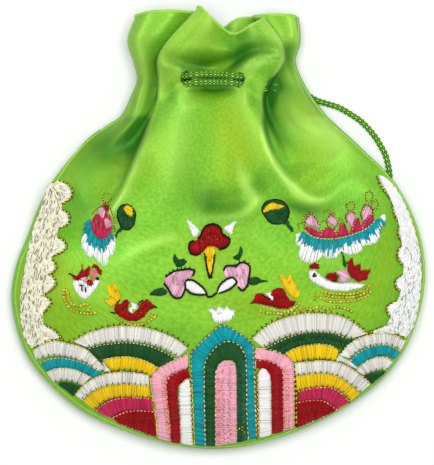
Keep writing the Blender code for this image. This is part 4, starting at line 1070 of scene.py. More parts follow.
def on_neck(flat):
    """Points on the topmost layer of the neck's folds: the highest of the cloth's own points
    within a millimetre or two, and straight up for the way out."""
    cloth = front_grid[:, -len(FRONT_NECK_ROWS):].reshape(-1, 3)
    apart = np.linalg.norm(flat.reshape(-1, 1, 2) - cloth[None, :, :2], axis=2)
    height = np.where(apart < NECK_REACH, cloth[None, :, 2], cloth[:, 2].min()).max(axis=1)
    height = height.reshape(flat.shape[:-1] + (1,))
    return np.concatenate([flat, height], axis=-1), np.zeros(flat.shape[:-1] + (3,)) + (0, 0, 1)


def edge_at(points, cornered, share):
    """Places along an edge drawn through points: straight from point to point, or round."""
    flat = plan(points)
    if cornered:
        knots = np.arange(len(flat))
        return np.stack([np.interp(share * knots[-1], knots, flat[:, i]) for i in (0, 1)], axis=1)
    run = lengths(flat)
    return smooth(share * run[-1], run, flat)


# How the two edges of a field are matched: the number of places averaged, an odd one, and
# the share at both ends over which the match is eased to the edges' own ends.
PLACES_AVERAGED = 25
EASED_ENDS = 0.12


def facing(first, last, share):
    """For places along one edge, the shares of the other edge that face them: the nearest
    points both ways, made to run forward only, averaged, softened, and kept at both ends."""
    apart = np.linalg.norm(first[:, None] - last[None], axis=2)
    there = np.maximum.accumulate(share[apart.argmin(axis=1)])
    back = np.maximum.accumulate(share[apart.argmin(axis=0)])
    back = np.interp(share, back + share * 1e-6, share)
    drift = (there + back) / 2 - share
    means = np.full(PLACES_AVERAGED, 1 / PLACES_AVERAGED)
    drift = np.convolve(np.pad(drift, PLACES_AVERAGED // 2, mode="edge"), means, mode="valid")
    return share + np.clip(np.minimum(share, 1 - share) / EASED_ENDS, 0, 1) * drift


def run_at(line, run, at):
    """Places on a flat line, at given lengths along it."""
    return np.stack([np.interp(at, run, line[:, axis]) for axis in (0, 1)], axis=1)


# Sewing by hand: by what share of a step stitches stray, by what share of a stitch the ends
# inside a field overlap, the shortest stitch, and how high a field's first stitches stand.
STRAY = 0.3
OVERLAP_WIDE, OVERLAP_PATCH = 0.04, 0.06
SHORTEST_STITCH = 0.5 * MM
EDGE_TOP = 0.35


def across_field(
    outer, inner, cornered, pitch=STRAND_PITCH, longest=LONGEST_STITCH, ragged=0.1 * MM, grow=0.0
):
    """Stitches across a field, evenly along its longer side. A wide field takes two or more
    to each line, which meet at uneven places. Returns starts, ends and a top that falls
    off at the field's two ends."""
    fine = np.linspace(0, 1, 400)
    first, last = edge_at(outer, cornered, fine), edge_at(inner, cornered, fine)
    faced = facing(first, last, fine)
    last = edge_at(inner, cornered, faced)
    run = np.concatenate([[0], np.cumsum(np.maximum(
        np.linalg.norm(np.diff(first, axis=0), axis=1), np.linalg.norm(np.diff(last, axis=0), axis=1)
    ))])
    count = max(round(run[-1] / pitch), 3)
    at = (np.arange(count) + sewing.uniform(STRAY, 1 - STRAY, count)) / count * run[-1]
    at = np.interp(at, run, fine)
    first = edge_at(outer, cornered, at)
    last = edge_at(inner, cornered, np.interp(at, fine, faced))
    reach = np.maximum(np.linalg.norm(last - first, axis=1), SHORTEST_STITCH)
    parts = int(np.ceil(reach.max() / longest))
    cuts = np.linspace(0, 1, parts + 1) + np.zeros((count, 1))
    cuts[:, 1:-1] += sewing.uniform(-STRAY, STRAY, (count, parts - 1)) / parts
    cuts[:, 0] -= (grow + sewing.uniform(-ragged, ragged, count)) / reach
    cuts[:, -1] += (grow + sewing.uniform(-ragged, ragged, count)) / reach
    lines = (last - first)[:, None]
    start = (first[:, None] + lines * cuts[:, :-1, None]).reshape(-1, 2)
    overlap = OVERLAP_WIDE if parts > 1 else 0
    end = (first[:, None] + lines * (cuts[:, 1:, None] + overlap)).reshape(-1, 2)
    from_end = np.minimum(np.interp(at, fine, run), run[-1] - np.interp(at, fine, run))
    round_off = np.sqrt(1 - (1 - np.clip(from_end / FADE, 0, 1)) ** 2)
    top = PAD_TOP * (EDGE_TOP + (1 - EDGE_TOP) * round_off)
    return start, end, np.repeat(top, parts)


def rounded(drawn, steps):
    """A closed outline drawn smoothly through its points, with so many steps for each."""
    knots = np.arange(-2, len(drawn) + 3)
    places = np.linspace(0, len(drawn), steps * len(drawn), endpoint=False)
    return smooth(places, knots, drawn[knots % len(drawn)])


def hatched(
    outline, degrees, pitch=STRAND_PITCH, longest=LONGEST_STITCH, ragged=0.1 * MM, cornered=False
):
    """Stitches that fill a closed outline, all one way. Every pitch, a line crosses the
    outline's sides; its crossings in order are the starts and ends of its stitches."""
    shape = plan(outline) if cornered else rounded(plan(outline), 16)
    ahead = np.array((np.cos(np.radians(degrees)), np.sin(np.radians(degrees))))
    square = np.array((-ahead[1], ahead[0]))
    turned = np.stack([shape @ ahead, shape @ square], axis=1)
    after = np.roll(turned, -1, axis=0)
    rows = np.arange(turned[:, 1].min() + 0.4 * pitch, turned[:, 1].max(), pitch)
    rows += sewing.uniform(-0.12, 0.12, len(rows)) * pitch
    row, side = np.nonzero((turned[:, 1] < rows[:, None]) != (after[:, 1] < rows[:, None]))
    share = (rows[row] - turned[side, 1]) / (after[side, 1] - turned[side, 1])
    at = turned[side, 0] + share * (after[side, 0] - turned[side, 0])
    order = np.lexsort((at, row))
    low, high, row = at[order][0::2], at[order][1::2], row[order][0::2]
    low = low - sewing.uniform(-ragged, ragged, len(low))
    high = high + sewing.uniform(-ragged, ragged, len(low))
    parts = np.maximum(np.ceil((high - low) / longest), 1).astype(int)
    step = np.arange(parts.sum()) - np.repeat(np.cumsum(parts) - parts, parts)
    low, run, line, of = (np.repeat(each, parts) for each in (low, high - low, rows[row], parts))
    shift = sewing.uniform(-STRAY, STRAY, len(of) + 1)
    begin = low + run * (step + np.where(step > 0, shift[:-1], 0)) / of
    finish = low + run * (step + 1 + np.where(step + 1 < of, shift[1:] + OVERLAP_PATCH, 0)) / of
    side_step = line[:, None] * square
    return begin[:, None] * ahead + side_step, finish[:, None] * ahead + side_step


def field(name, thread, outer, inner, cornered, finish, second=0.0, **how):
    """One band of satin stitch that stands for its plain solid."""
    start, end, top = across_field(outer, inner, cornered, **how)
    mesh = sewn(name + "_silk", start, end, STRAND, top, finish, second)
    return place(name + "_silk", mesh, [name])


def patch(name, thread, outline, degrees, instead=None, second=0.3, top=PAD_TOP, silk=None, **how):
    """A motif's patch: its outline filled one way with silk, for a plain solid or extra."""
    start, end = hatched(outline, degrees, **how)
    mesh = sewn(name + "_silk", start, end, STRAND, top, FLOSS[silk or thread], second)
    return place(name + "_silk", mesh, [instead] if instead else None)


def drawn_line(points, cornered=False):
    """A line through drawing points, sampled closely on the plan."""
    return edge_at(points, cornered, np.linspace(0, 1, 40 * len(points)))


def drawn_lines(table):
    """A line for each row of drawing points."""
    return [drawn_line(points) for points in table]


def beside(outer, inner, cornered, gap=0.32 * MM):
    """The line that runs just outside a field's outer edge, a small gap from it."""
    share = np.linspace(0, 1, 300)
    first, last = edge_at(outer, cornered, share), edge_at(inner, cornered, share)
    away = first - last
    return first + gap * away / np.maximum(
        np.linalg.norm(away, axis=1, keepdims=True), SHORTEST_STITCH
    )


def along(line, pitch):
    """Places every pitch along a line, and the way along it there."""
    run = lengths(line)
    at = np.arange(0.5 * pitch, run[-1], pitch)
    here = run_at(line, run, at)
    ahead = run_at(line, run, at + pitch / 4) - here
    near_end = np.linalg.norm(ahead, axis=1) < pitch / 8
    ahead[near_end] = (line[-1] - line[-3]) if len(line) > 3 else 1
    return here, ahead / np.maximum(np.linalg.norm(ahead, axis=1, keepdims=True), 1e-9)


# How uneven a row of dashes is: its drift to the side, its turn in radians, and the least
# and the most of half a dash's length.
DASH_DRIFT = 0.03
DASH_TURN = 0.12
DASH_HALF = (0.42, 0.55)


def dashes(
    name, lines, pitch, length, width, top, finish, second=0.0, turned=0.0, aside=0.0, lie=on_cloth
):
    """Short stitches along lines, each turned from its line by an angle, set aside from it,
    and a little uneven."""
    found = [along(line, pitch) for line in lines]
    here = np.concatenate([places for places, _ in found])
    ahead = np.concatenate([way for _, way in found])
    square = np.stack([-ahead[:, 1], ahead[:, 0]], axis=1)
    here = here + square * aside + sewing.normal(0, DASH_DRIFT, here.shape) * MM
    angle = turned + sewing.normal(0, DASH_TURN, len(here))
    cos, sin = np.cos(angle), np.sin(angle)
    way = np.stack([ahead[:, 0] * cos - ahead[:, 1] * sin, ahead[:, 0] * sin + ahead[:, 1] * cos], axis=1)
    half = (length * sewing.uniform(*DASH_HALF, len(here)))[:, None]
    return sewn(name, here - way * half, here + way * half, width, top, finish, second, lie=lie)


def ticks(name, lines, sizes, silk, **how):
    """One piece of dashes in a silk: their pitch, length, width and height in millimetres."""
    place(name, dashes(name, lines, *(size * MM for size in sizes), FLOSS[silk], **how))


def couched(name, lines, base, beads, pitch=1.15, share=0.62, width=0.5, top=0.66):
    """A laid thread on a row of dark tie stitches: a dark run below, bright lengths above."""
    ticks(name + "_ties", lines, (1.1, 1.5, width, 0.3), base)
    ticks(name, lines, (pitch, pitch * share, 0.8 * width, top), beads, second=1.0)


FLOSS = {
    "cream": floss("floss_cream", dye(255, 252, 230), unevenness=0.4),
    "white": floss("floss_white", dye(255, 255, 253), unevenness=0.3),
    "ivory": floss("floss_ivory", dye(240, 238, 228), dye(250, 249, 242), unevenness=0.8),
    "teal": floss("floss_teal", dye(0, 160, 172), dye(20, 184, 190)),
    "sea": floss("floss_sea", dye(58, 132, 98), dye(34, 104, 66)),
    "dark_green": floss("floss_dark_green", dye(28, 88, 42)),
    "yellow": floss("floss_yellow", dye(255, 222, 24), dye(246, 190, 14), unevenness=0.7),
    "magenta": floss("floss_magenta", dye(206, 34, 84), dye(224, 70, 110)),
    "dark_red": floss("floss_dark_red", dye(172, 0, 14), dye(152, 0, 14), unevenness=0.8),
    "red": floss("floss_red", dye(180, 0, 12), dye(136, 0, 8)),
    "pink": floss("floss_pink", dye(255, 190, 208), dye(255, 172, 186), unevenness=0.6),
    "petal": floss("floss_petal", dye(250, 208, 226), dye(240, 158, 196)),
    "salmon": floss("floss_salmon", dye(250, 158, 150), dye(240, 134, 134)),
    # Shadow-coloured flosses for the clouds' painted shadow of slits.
    "shadow": floss("floss_shadow", dye(146, 138, 104)),
    "cool_shadow": floss("floss_cool_shadow", dye(166, 176, 174)),
    "black": floss("floss_black", dye(22, 24, 20)),
    "gold": floss("floss_gold", dye(255, 244, 120), dye(214, 196, 40), unevenness=0.7),
    "moss": floss("floss_moss", dye(176, 186, 22), dye(140, 146, 10)),
    "olive": floss("floss_olive", dye(84, 92, 8)),
    "pale": floss("floss_pale", dye(255, 246, 196), dye(236, 214, 120)),
    "blush": floss("floss_blush", dye(255, 216, 180), dye(236, 130, 110)),
    "wine": floss("floss_wine", dye(92, 14, 20)),
}
WAVES = (
    ("wave_left_top_white", "white",
     ((75, 341), (86, 335), (102, 329), (129, 326), (157, 331), (176, 339), (188, 348)),
     ((88, 346), (97, 343), (108, 341), (129, 339.5), (150, 342.5), (164, 347), (180, 355.4)), False),
    ("wave_left_top_green", "dark_green",
     ((90, 348.5), (100, 345.5), (112, 343.8), (129, 343), (147, 345.6), (160, 350), (175, 358.6)),
     ((102, 357.5), (108, 355.5), (116, 354.5), (129, 354.5), (142, 356.5), (151, 360), (160.4, 365.4)),
     False),
    ("wave_left_top_yellow", "yellow",
     ((104, 360), (111, 358), (119, 357), (129, 356.8), (140, 358.8), (148, 361.8), (157.4, 367)),
     ((112, 368.5), (117, 368), (123, 367.6), (130, 367.8), (137, 368.8), (143, 370.2),
      (151, 373.2)), False),
    ("wave_side_left_white", "white",
     ((34.6, 351.5), (41.5, 345.7), (55.4, 341.2), (69, 343.5), (86, 349), (97, 358.5), (105, 368)),
     ((37, 358.5), (48.4, 354.6), (58, 354), (68, 355.2), (79, 358), (90, 362.5), (98.5, 369.5)), False),
    ("wave_side_left_teal", "teal",
     ((41.5, 363.2), (50, 359.5), (60, 358), (73, 359.5), (86, 363.5), (102.6, 371.2)),
     ((46.5, 369.6), (54, 366.4), (62, 365.4), (71, 366.2), (79, 368), (94.6, 375.4)), False),
    ("wave_side_left_inner_white", "white",
     ((48, 372.6), (57, 368.8), (66, 368.2), (75, 369.4), (91, 376.6)),
     ((54.5, 380.6), (60, 378.8), (66.4, 378.2), (74, 379.6), (83.4, 383.4)), False),
    ("wave_low_left_white", "white",
     ((76.5, 394), (84, 385.5), (97, 377.2), (108, 373.6), (119, 372), (133, 372.4),
      (148.8, 374.8)),
     ((82.5, 399), (90, 391.4), (103, 385), (113, 382.6), (124.5, 382), (136, 382.6), (149.2, 384.4)),
     False),
    ("wave_low_left_yellow", "yellow",
     ((84, 400.4), (92.5, 392.8), (104.5, 386.8), (114, 384.4), (125, 383.8), (137, 384.4),
      (149.6, 386)),
     ((94.5, 408), (104, 399.8), (110, 397), (117, 395.4), (125, 394.9), (137, 395), (151.2, 395.8)),
     False),
    ("wave_low_left_magenta", "magenta",
     ((97, 410.6), (108, 401.4), (116, 398.6), (125, 397.1), (137, 397.2), (151.8, 398.4)),
     ((110, 416), (118, 411.4), (124.5, 409), (133, 408.2), (141, 408.2), (153.2, 408.8)), False),
    ("wave_low_left_red", "dark_red",
     ((113.5, 417.6), (121, 413.4), (128, 410.9), (136, 410.2), (143, 410.2), (153.8, 410.8)),
     ((116.5, 419.5), (124, 422.6), (131, 425.4), (138.4, 428.2), (146, 431), (156.4, 434.8)), False),
    ("wave_right_top_white", "white",
     ((252.5, 338.7), (261, 330.5), (273, 322.5), (293, 315.4), (316, 313.4), (341.6, 317),
      (356, 325.4), (365, 333)),
     ((262, 346), (275, 339), (287, 334.6), (300, 331.6), (314, 330.6), (330, 331.2),
      (341, 333), (351, 337)), False),
    ("wave_right_top_green", "dark_green",
     ((264, 348.6), (280, 340.8), (292, 336), (305, 333), (320, 332.4), (333, 333.8), (346, 338.4)),
     ((281.6, 352.2), (291, 346.6), (300, 343.8), (311, 342.2), (322, 342), (331, 343.6),
      (338.6, 347.4)), False),
    ("wave_right_top_yellow", "yellow",
     ((285.5, 352.6), (294, 348.6), (304, 345.6), (314, 344.2), (323, 344.2), (331, 346),
      (337.4, 349.6)),
     ((294, 360.6), (300, 358.8), (307, 357.8), (314, 357.2), (321, 357), (328, 357.4),
      (334.6, 358.4)), False),
    ("wave_side_right_white", "white",
     ((339, 354.6), (348.5, 343.6), (362, 336.8), (374, 334), (386, 333.6), (397, 337),
      (404, 341.5)),
     ((348, 356.8), (356, 349.6), (366, 345.2), (376, 343.2), (384, 342.8), (393, 345), (400, 349)), False),
    ("wave_side_right_teal", "teal",
     ((349.4, 361), (358, 352.2), (367, 347.6), (377, 345.2), (385, 345), (399, 351.4)),
     ((356, 365), (366, 358), (372, 355), (379, 353.2), (386, 353.2), (394.5, 357.6)), False),
    ("wave_side_right_inner_white", "white",
     ((356, 369.4), (366, 361.4), (374, 357.8), (383, 357), (391.5, 361.4)),
     ((362.4, 373.6), (370, 370), (376, 368.2), (382, 367.8), (387.6, 368)), False),
    ("wave_low_right_white", "white",
     ((294.6, 363), (310, 361.2), (323, 360.4), (338, 362.4), (352, 369.4), (362, 376.6),
      (370, 384.2)),
     ((295, 373.6), (314, 371.6), (324, 371.4), (335, 373.2), (344, 378), (353, 384.6),
      (361, 391.4)), False),
    ("wave_low_right_yellow", "yellow",
     ((295.4, 375.8), (313, 373.6), (324, 373.6), (334, 375.4), (343, 380), (351, 386), (359.4, 393)),
     ((296.4, 389), (309, 386), (321, 384.6), (331, 385.4), (339, 388.2), (345, 393.4), (351, 400)), False),
    ("wave_low_right_magenta", "magenta",
     ((296.8, 391.2), (309, 388.2), (321, 387), (330, 387.6), (338, 391.4), (348.4, 402.6)),
     ((297, 400), (307, 398), (314, 397.4), (323, 398), (330, 402), (337.6, 408.4)), False),
    ("wave_low_right_red", "dark_red",
     ((296.8, 402), (306, 400.2), (314, 399.6), (321, 400.2), (328, 403.2), (335, 408.8)),
     ((296.8, 425), (305.5, 421.8), (313, 418.8), (320.5, 415.8), (328, 412.8), (334.4, 410.2)), False),
)
# The laid thread round each band, by the ending of the band's name: its dark ties and its
# bright thread.
BAND_LINES = (
    (("top_white", "left_white", "right_white", "teal"), "olive", "gold"),
    (("top_green", "top_yellow", "inner_white"), "dark_green", "pale"),
    (("low_left_yellow", "low_right_yellow"), "olive", "gold"),
    (("magenta", "red"), "wine", "blush"),
)
for name, thread, outer, inner, cornered in WAVES:
    silk = "ivory" if thread == "white" else thread
    field(name, thread, outer, inner, cornered, FLOSS[silk], second=0.5, grow=0.6 * MM)
for endings, ties, bright in BAND_LINES:
    lines = [beside(outer, inner, cornered) for name, _, outer, inner, cornered in WAVES
             if name.endswith(endings)]
    couched(f"wave_lines_{bright}_{ties}", lines, ties, bright, top=1.0)
outermost = [beside(outer, inner, cornered, 0.85 * MM) for name, _, outer, inner, cornered in WAVES
             if name.endswith("_white") and "inner" not in name]
ticks("wave_outer_ticks", outermost, (1.9, 0.85, 0.46, 0.5), "olive", turned=np.pi / 2)
# Dark ties also bite into the lower edges of the white and the yellow bands.
bitten = [beside(inner, outer, cornered, -0.1 * MM) for name, _, outer, inner, cornered in WAVES
          if name.endswith(("white", "yellow"))]
ticks("wave_inner_ticks", bitten, (1.75, 1.35, 0.3, 1.02), "olive", turned=np.pi / 2)
# Where bands meet, the corners between them are filled with dark green or white.
SLIVERS = (
    ((59, 382.8), (66, 381.6), (74, 382.6), (81, 386.4), (78, 391), (73.6, 395.6), (66, 389.6)),
    ((362.4, 376), (368, 373), (376, 371), (385, 370.6), (383, 374.6), (377, 379.6), (371, 384),
     (366, 380)),
    ((344.4, 339.2), (349.6, 338.6), (353, 339.4), (347, 344.6), (343, 349.6), (339.2, 354.4),
     (340.6, 347)),
    ((88.4, 347.2), (91.4, 348.4), (98, 354.6), (103.6, 360.4), (104.8, 364.8), (100, 360.6), (94, 354.4)),
)
for number, outline in enumerate(SLIVERS):
    patch(f"sliver_{number}", "dark_green", outline, 75)
WHITE_SLIVERS = (
    ("sliver_white_right", ((335.4, 359.8), (338.4, 355), (343, 357), (351, 361.4), (357, 368.4),
                            (349, 365.4), (342, 361.6)), 120),
    ("sliver_white_left", ((103.4, 362.4), (104.6, 361.6), (110.8, 369), (110, 370.2), (105.4, 370.8),
                           (104.6, 367.6)), 60),
)
for name, outline, degrees in WHITE_SLIVERS:
    patch(name, "white", outline, degrees, silk="ivory")

# The rock in the middle: nested upright stripes over the waves' meeting place, in the same
# satin stitch laid level, with couched lines between them.
ROCK = (
    ("rock_left_pink", "pink",
     ((158.6, 437.4), (157.8, 420), (155.8, 404), (153.2, 390), (151.4, 379), (154, 371.8), (160, 367.4),
      (170, 362.2), (180, 357.8), (188, 353.8)),
     ((170, 440.4), (168.6, 422), (166.9, 403), (165.2, 386), (166, 378.4), (170.6, 372.4), (179, 369),
      (188, 365.6)), True),
    ("rock_left_red", "dark_red",
     ((172, 441), (170.4, 422), (168.8, 403), (167.4, 387), (168.4, 380), (172.4, 374.8), (180, 371),
      (188.4, 367.8)),
     ((179.4, 442), (178.2, 424), (177, 406), (176, 390), (177.4, 383), (182, 378.4), (186, 376.2),
      (189.6, 374.8)), True),
    ("rock_left_white", "white",
     ((182.2, 442.6), (181.4, 425), (180.8, 407), (180, 391), (181, 384.6), (185, 380.4), (189, 378)),
     ((191.8, 444), (191, 427), (190.2, 411), (189.6, 396), (189.4, 391), (189.4, 387), (189.4, 383)),
     False),
    ("rock_middle_teal", "teal",
     ((195.8, 444), (194.6, 414), (193, 385), (191.6, 352.8), (201.4, 342.2), (209.4, 334.6), (217, 327.6),
      (222.6, 325), (229, 327.4), (238, 333), (246, 338.4), (252.4, 344), (253.2, 376), (253.8, 405),
      (255.2, 437.6)),
     ((204.4, 445), (204, 417), (203.4, 389), (203.2, 364), (205.8, 356.4), (209.8, 349.8), (215.6, 343.8),
      (225.4, 338.4), (234.8, 339.8), (242, 345), (247, 354), (247.6, 378), (247.4, 404), (249.2, 438.6)),
      True),
    ("rock_middle_green", "dark_green",
     ((206.4, 445), (206, 418), (205.4, 391), (205.2, 365), (208, 357.6), (212, 351.6), (217.4, 346),
      (225.6, 341.2), (234, 342.4), (240.4, 347), (244.6, 355), (245.4, 379), (245.2, 404), (247, 439)),
     ((214.8, 445), (214.6, 419), (214.4, 393), (214.6, 370), (216.6, 364.4), (219.6, 360.8),
      (223, 358.4), (226.6, 357.8), (230.4, 357.8), (233.6, 358.8), (236.4, 361.4),
      (236.8, 383), (237, 405), (237.6, 441.4)), True),
    ("rock_middle_pink", "pink",
     ((216.8, 444.6), (216.6, 420), (216.4, 395), (216.6, 371), (220, 363.4), (225.4, 360.2)),
     ((235, 441.6), (235, 417), (234.8, 393), (234.6, 368), (232.6, 362.4), (228, 360)), True),
    ("rock_right_white", "white",
     ((259.6, 436.6), (259.4, 416), (259, 394), (258.4, 373), (260.6, 369), (263.4, 368)),
     ((270, 434), (270, 414), (269.8, 394), (269.4, 380), (268.4, 374), (265.4, 368.8)), True),
    ("rock_right_red", "dark_red",
     ((256.4, 367), (256.2, 359.8), (266, 360), (276, 364), (281.4, 369.4), (282.2, 382), (282, 406),
      (282.2, 430.4)),
     ((262, 366.8), (265.6, 366.8), (268.4, 369.4), (270.6, 373.4), (271.8, 380), (272, 395), (272.4, 414),
      (272.8, 432.8)), True),
    ("rock_right_pink", "pink",
     ((256.2, 358), (255.8, 348), (266, 348), (276, 350.8), (285, 355.2), (291, 360), (292.8, 368),
      (293, 384), (293, 404), (293, 427)),
     ((261, 358), (266.4, 358.2), (276.4, 361.8), (282.6, 367.4), (283.8, 376), (284, 384), (284, 396),
      (284, 411), (284.2, 429)), True),
)
ROCK_LINES = (
    (("rock_left_pink", "rock_middle_teal", "rock_right_pink"), "olive", "gold"),
    (("rock_left_red", "rock_left_white", "rock_right_white", "rock_right_red"), "wine", "blush"),
    (("rock_middle_green", "rock_middle_pink"), "dark_green", "pale"),
)
for name, thread, outer, inner, cornered in ROCK:
    longest = 3.0 * MM if name == "rock_middle_pink" else LONGEST_STITCH
    field(name, thread, outer, inner, cornered, FLOSS[thread], second=0.5, grow=0.58 * MM, longest=longest)
for endings, ties, bright in ROCK_LINES:
    lines = [beside(outer, inner, cornered) for name, _, outer, inner, cornered in ROCK
             if name.endswith(endings)]
    couched(f"rock_lines_{bright}_{ties}", lines, ties, bright, pitch=1.5, top=1.02)
ROCK_ROWS = (
    ((192, 384), (193, 412), (194.6, 442)), ((190.6, 376), (191.6, 412), (193, 442)),
    ((257, 372), (257.2, 404), (258, 435)), ((255.2, 360), (255.6, 400), (256.6, 437)),
)
couched("rock_rows", drawn_lines(ROCK_ROWS), "olive", "gold", pitch=1.5)
couched("rock_row_brown", drawn_lines([((293.8, 368), (294.6, 394), (294.8, 426))]), "wine", "wine")
couched("wave_hems", drawn_lines((
    ((112, 416.8), (124, 423.8), (138.4, 429.6), (154, 435.4)),
    ((338, 408.6), (328, 414.2), (313, 420.2), (297, 426.4)),
)), "wine", "blush")
# The pink stripes turn salmon on their inner sides, and the dark green one a sea green.
SHADED_SIDES = (
    ("rock_salmon", "salmon", 2.1, (((169, 432), (167.4, 416), (165.6, 400), (163.8, 386), (164.6, 378),
                                     (169, 372)),
                                   ((282.6, 365), (285.6, 370), (286.6, 380), (286.6, 404), (286.8, 428)))),
    ("rock_middle_salmon", "salmon", 1.7, (((219, 442), (218.6, 412), (218.6, 376)),)),
    ("rock_sea", "sea", 1.5, (((243.6, 360), (243.4, 390), (243.4, 412), (245, 438)),)),
)
for name, silk, wide, lines in SHADED_SIDES:
    ticks(name, drawn_lines(lines), (0.62, wide, STRAND / MM, 0.98), silk, second=0.6, turned=np.pi / 2)
ticks("rock_salmon_beads", drawn_lines(SHADED_SIDES[0][3]), (1.3, 0.6, 0.4, 1.15), "blush")
couched("wave_ends", drawn_lines((
    ((150.6, 378), (153, 398), (155.4, 412), (157.6, 436)), ((295, 366), (295.6, 396), (296, 425)),
)), "wine", "gold", pitch=1.5)

# The clouds up both sides: cream silk on the left, white on the right. The silk lies across
# the round scallops; rows run up the pouch beside the seam, with shadow-coloured stitches between them that
# paint the shadow of slits.
CLOUD_SHAPES = {
    "cloud_left": (
        ((46.8, 187.3), (42.4, 202.9), (35.7, 223), (30, 246.4), (25.6, 269.9), (22, 292.2),
         (21.4, 312.3), (23.6, 331.3), (30.6, 346)),
        ((52.4, 183.6), (60.2, 182), (68, 185.2), (72.2, 191.7), (71, 198.2), (63.6, 203.6),
         (58, 207.4), (63.6, 210.7), (68.8, 214.4), (69.3, 221.6), (64.7, 226), (55, 229),
         (52.4, 232), (57, 236.8), (63.6, 240.8), (66.5, 246.4), (62.5, 251.6), (54.6, 255.2),
         (49, 257.4), (54.6, 262), (56.3, 267.6), (52.4, 272.8), (41.3, 276.2), (52.4, 276.4),
         (56.3, 283.3), (50.2, 290.6), (41.3, 296.2), (48, 297.8), (51.3, 302.2), (46.8, 308.9),
         (37, 321), (46.8, 325.7), (54.6, 330), (60.2, 336.8), (49, 340.2), (36, 345.6)),
    ),
    "cloud_right": (
        ((381, 176.4), (388.6, 182), (398.6, 195.7), (408, 214.6), (415, 235.8), (419.6, 259.4),
         (419.8, 283), (417.4, 304.2), (412.8, 324.3), (406.6, 336.6)),
        ((377.6, 176.4), (379.8, 182.7), (385.7, 192.8), (391.2, 199.2), (392.8, 209.8), (395.2, 216.9),
         (399, 222), (397.8, 228), (398.4, 236), (402.4, 243.4), (398, 249), (397.5, 257),
         (402.2, 264.3), (408, 269), (401, 275), (395.4, 280), (396.4, 287.4), (403.4, 292),
         (402.2, 298), (391.6, 302.3), (386.5, 307), (388, 313), (391.4, 318), (389.6, 323),
         (379.8, 326.8), (371.4, 331), (382, 332.3), (396.3, 333.4)),
    ),
}
# How each cloud's painted-shadow slits are spread: their number, the share of the way down at
# which they start, and the shadow-coloured silk that paints them.
CLOUD_SLITS = {"cloud_left": (230, 0.0, "shadow"), "cloud_right": (70, 0.42, "cool_shadow")}
CLOUD_STITCH = 3.0 * MM
CLOUD_ROWS = np.linspace(0.03, 0.92, 22)
SEAM_SHARE = 0.02
SMOOTHINGS = 1400
# How uneven a row is: its stitches' lengths as shares of one, their number at most, how
# near the row's ends they stop, and the gaps between them, in millimetres.
ROW_STITCHES = (0.7, 1.3, 90)
ROW_END = 0.4 * MM
ROW_GAPS = (-0.1, 0.35)
# From a stitch's start, in millimetres: where its painted-shadow slit begins, and the slit's length.
SLIT_BEGINS = (-0.2, 1.4)
SLIT_LENGTHS = (0.9, 2.1)


def up_the_cloud(outer, inner, rows, length):
    """Stitches end to end along rows. The rows pass, share by share, from the outer edge, a
    little in from the seam, to the inner edge with its scallops evened out."""
    share = np.linspace(0, 1, 500)
    first, last = edge_at(outer, False, share), edge_at(inner, False, share)
    first = first + (last.mean(axis=0) - first.mean(axis=0)) * SEAM_SHARE
    starts, ends = [], []
    middle = last.copy()
    for _ in range(SMOOTHINGS):
        middle[1:-1] = (middle[:-2] + middle[2:]) / 2
    for row in rows:
        line = first + (middle - first) * row
        run = lengths(line)
        cuts = np.cumsum(sewing.uniform(*ROW_STITCHES) * length) - length
        cuts = cuts[(cuts > ROW_END) & (cuts < run[-1] - ROW_END)]
        gaps = sewing.uniform(*ROW_GAPS, len(cuts) - 1) * MM
        starts.append(run_at(line, run, cuts[:-1]))
        ends.append(run_at(line, run, cuts[1:] - gaps))
    return np.concatenate(starts), np.concatenate(ends)


for name, (outer, inner) in CLOUD_SHAPES.items():
    thread = "cream" if name == "cloud_left" else "white"
    outline = (*outer, *inner[::-1])
    patch(name, thread, outline, 8 if thread == "cream" else -12, name, longest=3.6 * MM, top=0.7 * MM)
    start, end = up_the_cloud(outer, inner, CLOUD_ROWS, CLOUD_STITCH)
    place(name + "_rows", sewn(
        name + "_rows", start, end, 0.48 * MM, 0.95 * MM, FLOSS[thread], low=0.3 * MM,
    ))
    count, down, shadow = CLOUD_SLITS[name]
    low_enough = start[:, 1] < start[:, 1].max() - down * np.ptp(start[:, 1])
    pick = sewing.choice(np.flatnonzero(low_enough), count)
    ahead = (end - start)[pick]
    ahead /= np.linalg.norm(ahead, axis=1, keepdims=True)
    begin = start[pick] + ahead * sewing.uniform(*SLIT_BEGINS, (count, 1)) * MM
    # Shadow-coloured stitches raised over the rows: the painted shadow of slits.
    place(name + "_slits", sewn(
        name + "_slits", begin, begin + ahead * sewing.uniform(*SLIT_LENGTHS, (count, 1)) * MM,
        0.3 * MM, 1.12 * MM, FLOSS[shadow], low=0.5 * MM,
    ))
cloud_lines = [
    beside(inner, outer, False, 0.4 * MM) for outer, inner in CLOUD_SHAPES.values()
]
couched("cloud_lines", cloud_lines, "olive", "gold", pitch=1.2)
ticks("cloud_ticks", cloud_lines, (1.5, 0.9, 0.34, 0.5), "olive", turned=np.pi / 2)

# The lotus flowers: pink petals over magenta hearts, above a long-and-short fringe of teal
# and white in scallops. Gold thread goes round the petals and ends in small loops.
WHITE_FRINGES = (
    ((88, 230), (84, 236), (81.7, 242), (82.6, 249), (86, 254), (90, 258.6), (95.4, 258.6),
     (99.6, 263.6), (104, 267.4), (108.6, 264.4), (110, 258.4), (114.4, 254.6), (116.4, 246),
     (116.2, 237), (113, 238), (107, 245.4), (101, 246), (94, 243), (88.6, 236)),
    ((301, 233), (295.6, 235), (295, 243.6), (299.2, 248), (297.4, 254), (299.6, 260), (304.6, 263.4),
     (311.6, 264), (317.6, 261.4), (321, 257), (327, 259.4), (335, 258.6), (340.4, 253.2),
     (345, 255), (352.6, 255.4), (359.8, 253), (363, 247), (368.6, 246), (375.4, 243.4),
     (378.8, 238), (379, 231.4), (382.4, 225), (385, 218), (381.4, 214.4), (376.6, 220.4),
     (367.6, 231.4), (353, 239), (338, 243), (322, 243), (309, 240.6)),
)
